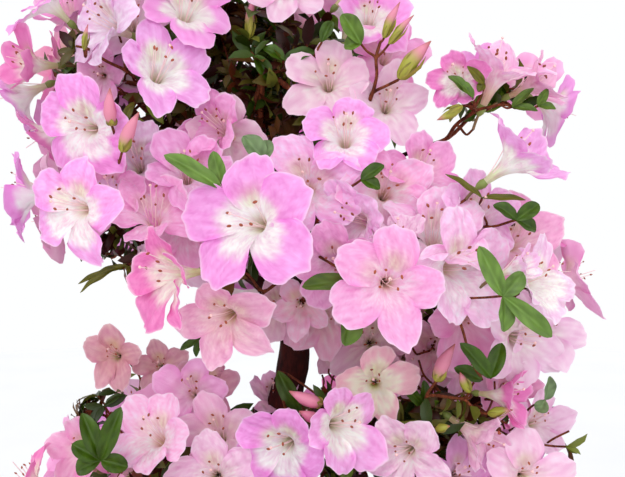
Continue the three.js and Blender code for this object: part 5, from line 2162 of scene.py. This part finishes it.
def make_mix():
    inner = pot_radius(MIX.top) - POT.wall + 0.5
    rings = 34
    profile = [[max(inner * (1 - k / rings), 0.5), MIX.top] for k in range(rings + 1)]
    points, quads = turned([[inner - 6, MIX.top - 40], *profile], 90)
    for i in np.flatnonzero(points[:, 2] > MIX.top - 1):
        x, y = points[i, :2]
        fine = 0.8 * noise.noise(Vector((x * 0.5, y * 0.5, 3)))
        points[i, 2] = mix_height(math.hypot(x, y), x, y) + fine
    mesh = mesh_from("potting_mix_surface", points, quads)
    fill_poles(mesh)
    mesh.materials.append(mix_look())
    settle(new_object("potting_mix_surface", mesh), ["potting_mix"])


# The corners and faces of a bark chip, and what chips are dealt out: how many, and how far from the trunk.
CHIP_SIZES = [3.2, 2.0, 1.0]
CHIP_CORNERS = [[1, 0, 0], [0, 1, 0], [-1, 0.2, 0], [0.1, -1, 0], [0, 0.1, 0.8], [0, 0, -0.8]]
CHIP_FACES = [[0, 1, 4], [1, 2, 4], [2, 3, 4], [3, 0, 4], [1, 0, 5], [2, 1, 5], [3, 2, 5], [0, 3, 5]]
CHIP_BROWNS = [(88, 56, 36), (52, 34, 24), (120, 84, 56), (38, 26, 20)]
CHIPS = 900
CHIPS_FROM_TRUNK = 20


def make_chips(tree):
    random = np.random.default_rng(SEED + 21)
    chip_mesh = bpy.data.meshes.new("chip")
    chip_mesh.from_pydata((np.array(CHIP_CORNERS) * CHIP_SIZES * MM).tolist(), [], CHIP_FACES)
    chip = new_object("chip", chip_mesh)
    inner = pot_radius(MIX.top) - POT.wall + 0.5
    places, axes, sizes, tints = [], [], [], []
    for _ in range(CHIPS):
        radius = (inner - 4) * math.sqrt(random.random())
        turn = tau * random.random()
        x, y = radius * cos(turn), radius * sin(turn)
        if math.hypot(x, y) < CHIPS_FROM_TRUNK:
            continue
        places.append([x, y, mix_height(radius, x, y) + 0.4])
        axes.append(axes_at(np.array([0.5, 0.5, 1]) * random.standard_normal(3), 6 * random.random()))
        sizes.append(0.5 + 0.9 * random.random())
        brown = linear(CHIP_BROWNS[int(4 * random.random())])
        tints.append(brown * (0.8 + 0.4 * random.random()))
    piece = scattered("bark_chips", tree, chip, places, axes, sizes, tints, chip_look())
    set_smooth(piece.data, False)
    bpy.data.objects.remove(chip)
    settle(piece)


def make_floor(radius=3000.0, sides=96):
    turns = np.linspace(0, tau, sides + 1)[:-1]
    points = np.stack([radius * np.cos(turns), radius * np.sin(turns), 0 * turns - 0.2], axis=1)
    mesh = bpy.data.meshes.new("floor")
    mesh.from_pydata((points * MM).tolist(), [], [list(range(sides))])
    mesh.materials.append(floor_look())
    new_object("floor", mesh)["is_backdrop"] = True


# The soft lights of the studio: from where, how strong, and how wide in degrees.
LIGHTS = {
    "key": ((-0.9, -1.5, 1.3), 0.75, 30),
    "front": ((0.1, -1.5, 0.3), 0.5, 40),
    "fill": ((1.3, -1.2, 0.5), 0.3, 50),
}
WORLD_COLOUR = (0.955, 0.962, 0.975, 1)
WORLD_STRENGTH = 1.04


def make_lights():
    for name, (at, strength, spread) in LIGHTS.items():
        light = bpy.data.lights.new(name, "SUN")
        light.energy = strength
        light.angle = radians(spread)
        new_object(name, light).rotation_euler = (-Vector(at)).to_track_quat("-Z", "Y").to_euler()


def make_studio():
    scene = bpy.context.scene
    scene.world = bpy.data.worlds.new("studio")
    scene.world.use_nodes = True
    backdrop = scene.world.node_tree.nodes["Background"].inputs
    backdrop["Color"].default_value = WORLD_COLOUR
    backdrop["Strength"].default_value = WORLD_STRENGTH
    make_lights()
    scene.view_settings.view_transform = "Standard"
    camera = bpy.data.cameras.new("photo_camera")
    camera.sensor_width = SENSOR
    camera.lens = FOCAL_PIXELS * SENSOR / IMAGE_WIDTH
    camera.clip_start = 0.01
    eye = new_object("photo_camera", camera)
    eye.location = Vector(CAMERA_AT * MM)
    eye.rotation_euler = (pi / 2, 0, 0)
    scene.camera = eye


make_limbs()
scatter = scatter_tree("scatter_by_point")
leaf_shape = small_leaf()
nearest_petals = Heap()
for tier_name in TIERS:
    replaced = [f"foliage_{masses[i].name}" for i in TIERS[tier_name]]
    make_blossom(tier_name, replaced, nearest_petals)
    make_twigs(tier_name)
    make_leaves(tier_name, scatter, leaf_shape)
heap_piece("petals_front", nearest_petals, petal_material)
bpy.data.objects.remove(leaf_shape)
make_seen_leaves()
make_pot()
make_mix()
make_chips(scatter)
make_floor()
make_studio()

shown_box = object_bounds()
[[list(corner) for corner in box] for box in (cad_box, shown_box)]
